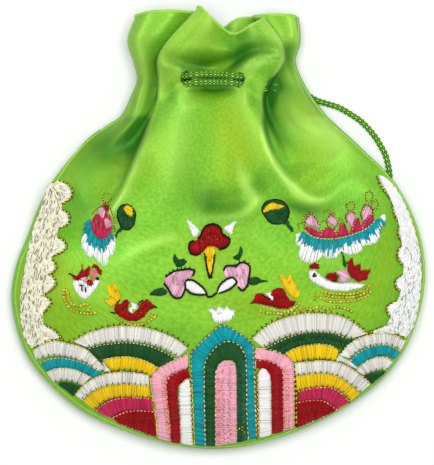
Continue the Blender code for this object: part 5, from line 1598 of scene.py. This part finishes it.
TEAL_FRINGES = (
    ((89.4, 220.6), (86.6, 226), (86.4, 233), (89.6, 240), (94, 245), (99, 248.4), (105, 248.4),
     (109.6, 244.6), (112.6, 238.4), (113.4, 232), (108, 238), (100.6, 240.4), (95, 236),
     (92, 228.4)),
    ((301.6, 233), (299.4, 238.6), (304.4, 244.4), (312, 248.6), (320, 248.8), (328, 251.4),
     (336, 250.4), (342, 246.2), (350, 243.4), (358, 241.6), (366, 239), (373.4, 233.6),
     (378.6, 225.4), (380.4, 219.4), (371, 225), (362.8, 232), (351, 236.8), (339, 240),
     (327, 240.8), (315, 239.2), (307, 236.8)),
)


def fringe(name, thread, outline, centre, instead, ragged, pitch, top, grow=0.0):
    """A fringe whose stitches spread from a place above it, long and short by turns. Lines
    from that place cross the outline first on the near side and last on the far side."""
    shape = rounded(plan(outline), 20) - plan(centre)
    turn, far = np.arctan2(shape[:, 0], -shape[:, 1]), np.hypot(*shape.T)
    turns = np.arange(turn.min(), turn.max(), pitch / far.mean())
    turns = turns + sewing.uniform(-STRAY, STRAY, len(turns)) * pitch / far.mean()
    row, side = np.nonzero((turn < turns[:, None]) != (np.roll(turn, -1) < turns[:, None]))
    share = (turns[row] - turn[side]) / (np.roll(turn, -1)[side] - turn[side])
    at = far[side] + share * (np.roll(far, -1)[side] - far[side])
    order = np.lexsort((at, row))
    low, high, row = at[order][0::2], at[order][1::2], row[order][0::2]
    low = low - 0.5 * grow
    high = high + grow + sewing.uniform(-ragged, 0.4 * ragged, len(high))
    way = np.stack([np.sin(turns[row]), -np.cos(turns[row])], axis=1)
    start = plan(centre) + way * low[:, None]
    end = plan(centre) + way * np.maximum(high, low + SHORTEST_STITCH)[:, None]
    mesh = sewn(name + "_silk", start, end, STRAND, top, FLOSS[thread], 0.3, low=0.2 * MM)
    return place(name + "_silk", mesh, [instead])


SIDES = ("left", "right")
FRINGE_CENTRES = ((101, 212), (335, 168))
for side, centre, white, teal in zip(SIDES, FRINGE_CENTRES, WHITE_FRINGES, TEAL_FRINGES):
    fringe(f"lotus_{side}_white", "white", white, centre, f"lotus_{side}_fringe",
           ragged=0.35 * MM, pitch=0.36 * MM, top=0.6 * MM)
    fringe(f"lotus_{side}_teal", "teal", teal, centre, f"lotus_{side}_teal",
           ragged=2.0 * MM, pitch=0.34 * MM, top=0.98 * MM, grow=1.2 * MM)
HEARTS = (
    ("left_heart", ((97.4, 213.6), (93, 219.6), (92.3, 228.5), (96.6, 236.4), (102.6, 241.2),
                    (109, 237), (112.4, 231), (113, 223.4), (111.4, 216), (108.4, 211), (103.4, 214.6)), 80,
                    "lotus_left_bud"),
    ("right_heart", ((303, 227.6), (306.4, 232.4), (311, 236), (319, 237.8), (327, 238.6), (335, 238.2),
                     (343, 236.6), (351, 234.2), (359, 231.4), (366.7, 227), (372.2, 221.4),
                     (372.6, 216), (370.6, 213.6), (365, 218.4), (359.4, 226), (359, 220.6), (356.8, 218.6),
                     (351.4, 224.6), (348, 233), (345.6, 227.6), (342, 222.6), (338, 228.4), (336, 234.6),
                     (332, 227.8), (327, 226), (322.4, 231), (318.4, 231.6), (312, 228), (306, 226.4)), 78,
                     None),
)
for name, outline, degrees, instead in HEARTS:
    patch("lotus_" + name, "magenta", outline, degrees, instead, top=0.85 * MM, cornered=True)
PETALS = (
    ("left_petal", ((99.6, 213), (103, 206.8), (106.6, 209.4), (106.2, 214), (102.6, 220)), 70, None),
    ("left_petal_right", ((105, 222), (107.6, 217.6), (111.4, 218.6), (112.6, 223), (110, 227.6),
                          (106, 229)), 60, None),
    ("right_petal_first", ((305.2, 221.6), (308, 216.6), (311, 214.2), (315, 219.6), (317.6, 225),
                           (317.6, 229), (310, 226.6)), 100, "lotus_right_petals"),
    ("right_petal_second", ((326.6, 219), (330, 215.8), (333.4, 218.6), (335.6, 223.4), (335, 227.4),
                            (329.6, 224)), 115, None),
    ("right_petal_third", ((345.6, 217), (350, 211.8), (354, 215.6), (352.6, 222), (350, 228),
                           (347, 222.6)), 88, None),
    ("right_petal_fourth", ((360.8, 213), (366, 205.4), (370.2, 209), (368.4, 214.5), (362.6, 221.4),
                            (361, 217)), 65, None),
)
for name, outline, degrees, instead in PETALS:
    patch("lotus_" + name, "pink", outline, degrees, instead, top=1.0 * MM, silk="petal", second=0.8)
CROWN = ((104, 210), (105.4, 205.2), (109.6, 206), (110, 210.6), (107, 212))
patch("lotus_left_crown", "dark_red", CROWN, 80, top=1.0 * MM)
PETAL_LINES = (
    ((303.4, 228.6), (305, 220), (311, 213.4), (315.4, 219), (318.4, 226), (319, 231)),
    ((319.6, 236), (322.6, 230), (327, 226), (326, 220.4), (330, 214.8), (334.6, 219), (336.4, 225),
     (333.4, 228.6), (335.6, 236.6)),
    ((336.4, 232.6), (342, 222.6), (346, 229), (348.4, 235)),
    ((345.6, 222), (345, 216.4), (350, 211), (354.6, 215.4), (352.8, 222)),
    ((350, 234), (352.4, 225), (357.4, 218.4), (359.6, 226)),
    ((362, 222.4), (360.4, 213), (366, 204.4), (371, 209), (372.8, 217)),
    ((361, 229.6), (363, 223.4), (370.6, 213.8)),
)
couched("petal_lines", drawn_lines(PETAL_LINES), "wine", "blush", pitch=1.0, width=0.38, top=1.05)
HEART_LINE = ((304.4, 229.8), (311, 236.4), (319, 238.4), (327, 239.2), (335, 238.8), (343, 237.2),
              (351, 234.8), (359, 232), (366.9, 227.6), (372.6, 222))
ticks("heart_line", [drawn_line(HEART_LINE)], (1.1, 0.7, 0.36, 1.12), "pale")
LOTUS_LINES = (
    ((93.2, 214), (96, 210.4), (100.6, 207), (104, 204.4), (107, 203), (110, 206.6), (113, 214),
     (115, 220), (114.6, 226), (115.4, 233.6)),
    ((107, 203), (103.4, 199.6), (103.6, 195.4), (107, 193.6), (110.8, 195.6), (111, 199.8),
     (107.4, 202.8)),
    ((298.4, 228.4), (297.6, 224.6), (301, 222.6), (303.4, 217), (308, 213)),
    ((318, 228), (321, 222), (325.6, 220)),
    ((322, 213), (326, 210.4), (330.6, 211.4), (334, 215)), ((336.6, 226), (340, 219), (344, 219.6)),
    ((350, 211), (346.4, 208.6), (346.6, 204.4), (350.4, 202.4), (353.8, 205), (353.4, 209), (350.4, 211)),
    ((368, 203), (365, 198.6), (365.6, 193.6), (369, 191.6), (372, 195), (371, 200), (368, 203)),
    ((371, 207), (372.4, 202.4), (375.6, 201), (377.6, 204.4), (376, 208.4), (373, 209.6)),
)
couched("lotus_lines", drawn_lines(LOTUS_LINES), "olive", "gold", pitch=0.9, width=0.38, top=0.7)

# The seed pods: dark green cups with yellow seeds, a black edge and a thick stem.
PODS = (
    ("left", ((126.6, 204), (132.6, 207.4), (136.2, 213.6), (135.8, 220), (133.6, 226), (128, 230),
              (122.9, 228.2), (119.6, 222), (117.8, 216), (118.6, 209.6), (122, 205.4)),
     ((122.6, 206.4), (127, 205.2), (132.4, 208), (135.2, 212.8), (134.6, 217.2), (131, 216.8),
      (126.8, 213.8), (123.6, 210)),
     ((121.4, 226.4), (124.4, 228.4), (119, 234), (116.2, 238.4), (115.2, 236.6)), 80),
    ("right", ((261.2, 207.9), (264.6, 203), (272.7, 199.8), (280.7, 200.9), (286, 205.2), (288.6, 211.4),
               (287.4, 217.7), (283.4, 222.6), (276.3, 224), (270, 222.8), (265.5, 217.7), (262, 212.3)),
     ((263, 210.5), (266.4, 204.6), (272.7, 202.2), (278, 204), (283.4, 206), (279.8, 209.2),
      (271.8, 211), (264.8, 213.4)),
     ((282.4, 222.4), (286, 219.6), (289.6, 224), (293.6, 231.4), (292, 232.2), (287.4, 227.6)), 20),
)
for side, cup, seeds, stem, degrees in PODS:
    patch(f"pod_{side}", "dark_green", cup, degrees, f"seed_pod_{side}")
    patch(f"pod_{side}_seeds", "yellow", seeds, degrees + 70, top=0.98 * MM, second=0.8)
    patch(f"pod_{side}_stem", "dark_green", stem, 50 if side == "left" else 130)
pod_edges = drawn_lines([(*cup, cup[0]) for _, cup, _, _, _ in PODS])
ticks("pod_lines", pod_edges, (0.8, 1.05, 0.42, 0.6), "black")

# The mandarin ducks, one on each side, on nests of gold thread. The left one's feathers
# are split: a head with a crest, a tail and a round wing.
DUCK_PATCHES = (
    ("left_body", "white", ((73.9, 280.4), (75, 288), (76.6, 292), (80.4, 297), (85.9, 299.7), (91.5, 296),
                            (97, 288.6), (100.9, 281.6), (98, 278.4), (92, 281), (86, 277), (79, 278)), 88,
                            "duck_left_body", None, 0.7),
    ("left_back", "red", ((71.4, 273.4), (76, 275.6), (80, 274.6), (82.6, 270), (83, 263.6), (84.8, 268),
                          (85.6, 271),
                          (88, 267.6), (90.5, 264.4), (91.6, 268), (90.6, 272.6), (88.6, 277), (84, 277.6),
                          (80.6, 282.6), (76.4, 281.6)), 60, "duck_left_feathers", None, 0.9),
    ("left_head", "dark_red", ((94.4, 263), (98, 264.6), (103, 270.6), (102.4, 275.8), (99.4, 273.4),
                               (96.4, 268.6), (93, 267.4)), 115, None, None, 0.95),
    ("left_cheek", "pink", ((92.6, 268.4), (96.2, 269), (99, 273.6), (98.6, 276.6), (95.6, 281),
                            (91.4, 277.4), (90.6, 273)), 80, None, "salmon", 0.9),
    ("left_blush", "pink", ((81, 281), (83.4, 277.6), (88, 276.6), (88.6, 281), (86, 284.6)), 50, None,
     "petal", 0.95),
    ("left_wing", "dark_red", ((87, 281.6), (89.4, 278.8), (93.2, 279.6), (94.8, 283.4), (92.6, 287),
                               (88.8, 287)), 75, None, None, 1.0),
    ("right_body", "white", ((308.6, 270), (313.3, 268.6), (317.3, 271.9), (321.3, 275.9), (326.9, 279.6),
                             (334.9, 281.6),
                             (342.8, 282), (350.8, 281.6), (357.2, 282.4), (364, 284), (360, 287.6),
                             (347, 291.2),
                             (334.9, 291.2), (325, 289), (317, 285), (311, 281.8), (308.2, 278.4)), 75,
                             "duck_right_body", None, 0.75),
    ("right_comb", "dark_red", ((308.6, 265.4), (314, 262), (318.9, 263.6), (318, 268.7), (313.4, 268.4),
                                (308.8, 269.4)), 70, None, None, 0.8),
    ("right_wing", "red", ((323.6, 276.4), (326.9, 272.6), (334.9, 272.2), (338, 275.9), (337, 282),
                           (328.5, 279.6)), 170, "duck_right_wing", None, 0.95),
    ("right_blush", "pink", ((333.3, 271.4), (339.6, 268.4), (346, 270.6), (350.6, 278.6), (344.4, 283),
                             (338.2, 280.6), (338.4, 274.6)), 150, None, "petal", 0.95),
    ("right_tail", "dark_red", ((346, 262), (351.6, 256.4), (353, 265.6), (359.8, 262.6), (359.8, 269.4),
                                (369.4, 268.6),
                                (365, 279.6), (357.2, 282.3), (350.6, 278), (346.4, 271)), 60, None, None,
                                0.9),
    ("right_reeds", "dark_green", ((339.8, 251), (341.6, 251), (344.8, 262), (345.4, 267.6), (342.4, 266),
                                   (340.8, 258)), 95, None, None, 0.8),
)
for name, thread, outline, degrees, instead, silk, top in DUCK_PATCHES:
    patch("duck_" + name, thread, outline, degrees, instead, silk=silk, top=top * MM, cornered=True,
          second=0.6, ragged=0.15 * MM)
EYES = (
    ((311.4, 277), (312.6, 272.6), (314.6, 271.4), (315.4, 274.6), (313.4, 277.6)),
    ((97, 278.6), (98.4, 276.6), (100.2, 277.4), (99.6, 280), (97.8, 280.4)),
)
for number, outline in enumerate(EYES):
    patch(f"duck_eye_{number}", "dark_green", outline, 70, silk="black", top=1.1 * MM)
DUCK_LINES = (
    ((70.6, 273.4), (74.6, 275.4), (78, 277.6)), ((83.2, 286), (83.6, 290.6)), ((86.6, 287), (87, 291)),
    ((81.4, 284.6), (84.4, 286.4)),
)
ticks("duck_lines", drawn_lines(DUCK_LINES), (0.8, 1.2, 0.46, 1.05), "black")
NEST_LINES = (
    ((65.6, 288), (64.8, 293), (67, 302.5), (71, 307.4), (76.7, 310.8), (84, 312.6), (92.4, 313),
     (97.4, 311.8)),
    ((69.3, 290.4), (71, 300.6), (75.7, 304.3), (82.2, 304.9), (87.6, 303.4), (91, 307.6), (88, 310)),
    ((67.4, 288.4), (68.6, 296), (72.6, 304)),
    ((320, 290.6), (326.9, 292.6), (334.9, 293.6), (342.8, 294), (350.8, 293.4), (358.8, 291.8),
     (366.7, 287.8), (369.4, 283.4)),
    ((323, 294.4), (331, 296.4), (341, 297), (351, 296.6), (360, 294.4), (368, 290)),
    ((313.6, 299.4), (316.6, 295.6), (321, 298), (326.9, 300.6), (334.9, 301.6), (342.8, 301.2),
     (350.8, 300.6), (358.8, 298.2), (366.7, 294.6), (370.4, 290)),
    ((258.6, 309.4), (266, 312), (274, 312.4), (282, 312.8), (290, 310.4), (296, 306), (298.4, 302.6)),
    ((293, 313.6), (298, 308.4), (303, 307.4), (310, 309), (318, 306.6), (326, 308.4), (336, 306.6),
     (346, 308.6), (351, 311)),
    ((118, 317.4), (127.5, 322.8), (137.7, 324), (147, 321.9), (155.6, 316)),
    ((148, 318.4), (152, 315.6), (156, 315)),
)
couched("nest_lines", drawn_lines(NEST_LINES), "moss", "gold", pitch=1.1, width=0.95, top=0.72)
ticks("nest_ticks", drawn_lines(NEST_LINES), (1.5, 1.0, 0.36, 0.55), "olive", turned=np.pi / 3)

# The two small birds: red bodies with white wings, black beaks and yellow tails.
BIRD_PATCHES = (
    ("left_tail", "yellow", ((118.6, 303), (111, 297), (108, 288), (106.6, 282), (110.4, 284), (112.4, 288),
                             (112.8, 281.6),
                             (116, 283), (117.6, 288), (119.6, 286.6), (120.8, 293), (121.8, 300)), 105,
                             "bird_left_tail", 0.7),
    ("left_tail_low", "yellow", ((103, 297), (107.4, 298.6), (113, 297), (118.6, 301), (116, 304.6),
                                 (112, 308.4),
                                 (110, 303.6), (106.6, 303), (105.6, 300)), 140, None, 0.75),
    ("left_body", "red", ((114.8, 308), (116, 303.4), (121.6, 303), (124.8, 298.6), (128.4, 298.8),
                          (130.6, 302), (128.6, 307),
                          (129.6, 311.4), (134, 312.6), (139.6, 307), (142, 301.4), (147.9, 298.2),
                          (152, 301.4), (154, 305), (157.4, 306.8),
                          (149.4, 309.9), (145, 316.4), (137.7, 321), (129.4, 321), (120, 316.4),
                          (115, 311.6)), 75, "bird_left_body", 0.85),
    ("left_wing", "white", ((131.2, 301.4), (138.8, 304.1), (137.9, 308.6), (134, 309), (132.6, 312.6),
                            (127.5, 309.4), (131.6, 306.6)), 20, None, 1.0),
    ("right_tail", "yellow", ((278.8, 274), (281.6, 272.6), (284.6, 276.4), (286.6, 279), (288, 273.4),
                              (291, 273.6), (292.6, 279.6),
                              (295.4, 283), (296.4, 288), (299.4, 290.4), (298, 296), (294.6, 299.4),
                              (290, 297), (286, 291.6), (282.4, 286), (280, 280)), 75, "bird_right_tail",
                              0.7),
    ("right_body", "red", ((250.8, 302.5), (253.9, 298), (255.7, 292.7), (262, 292), (265.5, 295.4),
                           (269.6, 297.6), (271.8, 289),
                           (278, 286.7), (283.4, 288), (286, 294.5), (289.6, 299.8), (295, 300.7),
                           (293.2, 305.2),
                           (287.9, 308.6), (278.9, 308.8), (270, 306), (261, 304.3)), 100,
                           "bird_right_body", 0.85),
    ("right_wing", "white", ((264.6, 292.7), (270, 291.6), (271, 295.2), (274.5, 296.8), (273, 299.4),
                             (270, 298.4), (267.3, 295.6)), 160, None, 1.0),
)
for name, thread, outline, degrees, instead, top in BIRD_PATCHES:
    patch("bird_" + name, thread, outline, degrees, instead, top=top * MM, cornered=True, second=0.5)
BIRD_LINES = (
    ((139, 304), (141.4, 301), (144.6, 299.2)), ((154, 304.6), (157.8, 307.2)),
    ((111.6, 311.4), (115.4, 312.6)),
    ((250.4, 302.6), (253, 301.4)), ((262.6, 294.4), (266.4, 297), (269.6, 298.4)),
    ((117.4, 302.6), (120, 300)),
)
ticks("bird_lines", drawn_lines(BIRD_LINES), (0.7, 1.1, 0.44, 1.1), "black")
BELLY_LINE = ((262, 305.6), (270, 308), (279, 310.4), (288, 310), (295, 305.6))
ticks("bird_belly_line", [drawn_line(BELLY_LINE)], (1.1, 0.9, 0.4, 0.6), "pale", second=0.5)

# The flowers in the middle: a red bloom on a yellow drop, a pink one on each side with
# white petals that meet below it, dark green leaves, and black stem-stitch outlines.
RED_BLOOM = ((193.7, 240.8), (190, 243), (189.4, 248.4), (191.6, 253.6), (196, 254.8), (201, 253.6),
             (205, 250.4),
             (209.6, 246.6), (214.6, 247), (219.4, 249.2), (224.8, 247.8), (229, 243.4), (229.2, 238.6),
             (225.4, 235.8), (222.4, 233.6), (220.6, 228.4), (217, 225), (212.4, 223.9), (206.9, 225.6),
             (203.2, 230), (201.2, 235.4), (198, 239))
DROP = ((206, 247.4), (210, 245.6), (214.2, 247), (214.8, 254), (213.9, 262), (212.4, 270), (210.6, 277.2),
        (208, 271), (206, 262), (205, 253.4))
LEFT_BLOOM = ((166, 277), (173.5, 271.6), (183.6, 269.4), (190.6, 269), (194.4, 271.4), (193, 275),
              (188.6, 278.6), (185.4, 281.6), (185.4, 287), (184, 292), (180.5, 297), (176, 297.6),
              (171.6, 294), (169, 289), (165, 283.6))
RIGHT_BLOOM = ((223.9, 270.4), (226, 266.2), (231.8, 265.6), (235.9, 266.4), (240, 262.6), (245.4, 262.6),
               (249, 265.6), (249.7, 270.6), (248.4, 278), (246.8, 286), (242, 290), (238, 286.4),
               (236.6, 281),
               (231, 277), (225.6, 277.6))
LEFT_LEAF = ((185.9, 279.9), (192.9, 280), (199, 283.8), (204.6, 289.2), (206.9, 293.7), (199, 294.3),
             (191.4, 292.6), (186, 288.6))
RIGHT_LEAF = ((232.4, 277), (236.3, 281.4), (233.2, 286), (227.9, 289.6), (219.6, 292.8), (217.2, 290.6),
              (221, 283.8), (226.4, 279.2))
FLOWER_PATCHES = (
    ("red_bloom", "red", RED_BLOOM, 82, "flower_middle_red", None, 0.8),
    ("drop", "yellow", DROP, 88, "flower_middle_drop", None, 0.98),
    ("left_bloom", "pink", LEFT_BLOOM, 65, "flower_left_pink", "petal", 0.8),
    ("right_bloom", "pink", RIGHT_BLOOM, 110, "flower_right_pink", "petal", 0.8),
    ("left_petal", "white", LEFT_LEAF, 62, None, None, 0.75),
    ("right_petal", "white", RIGHT_LEAF, 118, None, None, 0.75),
    ("plume_left", "white", ((187.2, 219.6), (192.6, 223), (199.7, 230.9), (199, 235.3), (194.7, 237.5),
                             (190.6, 230)), 122, None, None, 0.7),
    ("plume_right", "white", ((236.5, 220.6), (233.4, 227.6), (231.6, 233.6), (227.9, 234.4),
                              (224.2, 228.6), (229.5, 223.7)), 58, None, None, 0.7),
    ("leaf_upper_left", "dark_green", ((173.6, 256), (174.2, 261.8), (177.4, 267), (182.8, 266.3),
                                       (186.7, 261.8), (183.6, 258), (178.9, 258.9), (175.2, 253.4)), 100,
                                       None, None, 0.7),
    ("leaf_lower_left", "dark_green", ((150, 294.3), (155.6, 289), (162.6, 286.9), (167, 289.8),
                                       (166.3, 293.7), (161.8, 295.8), (155.6, 295.8)), 60, None, None,
                                       0.7),
    ("leaf_upper_right", "dark_green", ((240, 245.7), (242.5, 250), (241.8, 255.6), (238.8, 260),
                                        (234.4, 259.3), (233.6, 256.4), (238, 253.2)), 100, None, None,
                                        0.7),
    ("leaf_lower_right", "dark_green", ((249, 281), (250.6, 276.6), (256.6, 276.4), (261, 279),
                                        (267.3, 281), (261, 282.6), (254, 285.4), (249.6, 284.4)), 100,
                                        None, None, 0.7),
)
for name, thread, outline, degrees, instead, silk, top in FLOWER_PATCHES:
    patch("flower_" + name, thread, outline, degrees, instead, silk=silk, top=top * MM, second=0.7)
BUD = ((208.6, 309), (211, 306.4), (214.6, 309.6), (219, 305.4), (222, 308.4), (227, 305.4), (229.6, 308.6),
       (234.8, 309.6), (234, 315), (228.6, 321), (221, 322.8), (213.4, 321.2), (212, 315))
patch("flower_bud", "white", BUD, 95, "bud_middle_white", cornered=True, ragged=0.4 * MM)


def opened(outline, first, last):
    """Part of a closed outline, from one point of it to another, as a line."""
    knots = np.arange(first, last + 1 if last >= first else last + 1 + len(outline))
    return drawn_line(np.array(outline)[knots % len(outline)])


BLACK_RUNS = (
    opened(RED_BLOOM, 0, 5), opened(RED_BLOOM, 9, 21), opened(LEFT_BLOOM, 0, 5),
    opened(LEFT_BLOOM, 6, 14), opened(LEFT_LEAF, 0, 4), opened(LEFT_LEAF, 4, 7),
    opened(RIGHT_LEAF, 0, 4), opened(RIGHT_LEAF, 5, 8), opened(RIGHT_BLOOM, 0, 3),
    opened(RIGHT_BLOOM, 3, 11), opened(DROP, 3, 9),
    drawn_line(((206.9, 294), (207.7, 296), (212, 295.6), (217, 292))),
    drawn_line(((205.8, 256), (206.6, 266), (209.4, 277.6))),
)
ticks("flower_lines", BLACK_RUNS, (0.7, 1.25, 0.68, 0.95), "black")
bloom_edges = [opened(RED_BLOOM, 16, 21), opened(LEFT_BLOOM, 0, 4), opened(RIGHT_BLOOM, 2, 6)]
ticks("bloom_ticks", bloom_edges, (1.25, 1.1, 0.4, 0.7), "black", turned=np.pi / 2, aside=0.35 * MM)
LOOSE_THREADS = (
    ((226, 424), (231, 427), (238, 426), (246, 431)), ((229, 431), (236, 428.6), (243, 424)),
)
couched("loose_threads", drawn_lines(LOOSE_THREADS), "olive", "gold", pitch=1.0, width=0.36, top=1.15)

# The casing: a row of machine stitches holds it under the frill, puckering the satin, and
# a few threads have frayed where the cord goes in on the right.
FLOSS["casing"] = floss("casing_thread", dye(178, 240, 110), dye(120, 206, 50))
CASING_ROWS = (
    ((160, 67.4), (168, 67), (176, 69.4), (183, 74)),
    ((238.6, 73), (244, 66.6), (252, 62), (265, 58.6), (281, 59.4)),
)
ticks("casing_stitches", drawn_lines(CASING_ROWS), (0.85, 1.1, 0.28, 0.1), "casing",
      second=1.0, turned=np.pi / 2, lie=on_neck)
FRAYED = (
    ((262, 90), (266, 88.6)), ((262.6, 92), (268, 90.4)), ((274, 86), (277.4, 84.6)),
    ((273, 90.6), (276.6, 91.6)), ((264.4, 86.4), (267, 84.4)),
)
ends = plan(FRAYED)
place("frayed_threads", sewn(
    "frayed_threads", ends[:, 0], ends[:, 1], 0.22 * MM, 0.3 * MM, FLOSS["casing"], lie=on_neck,
))
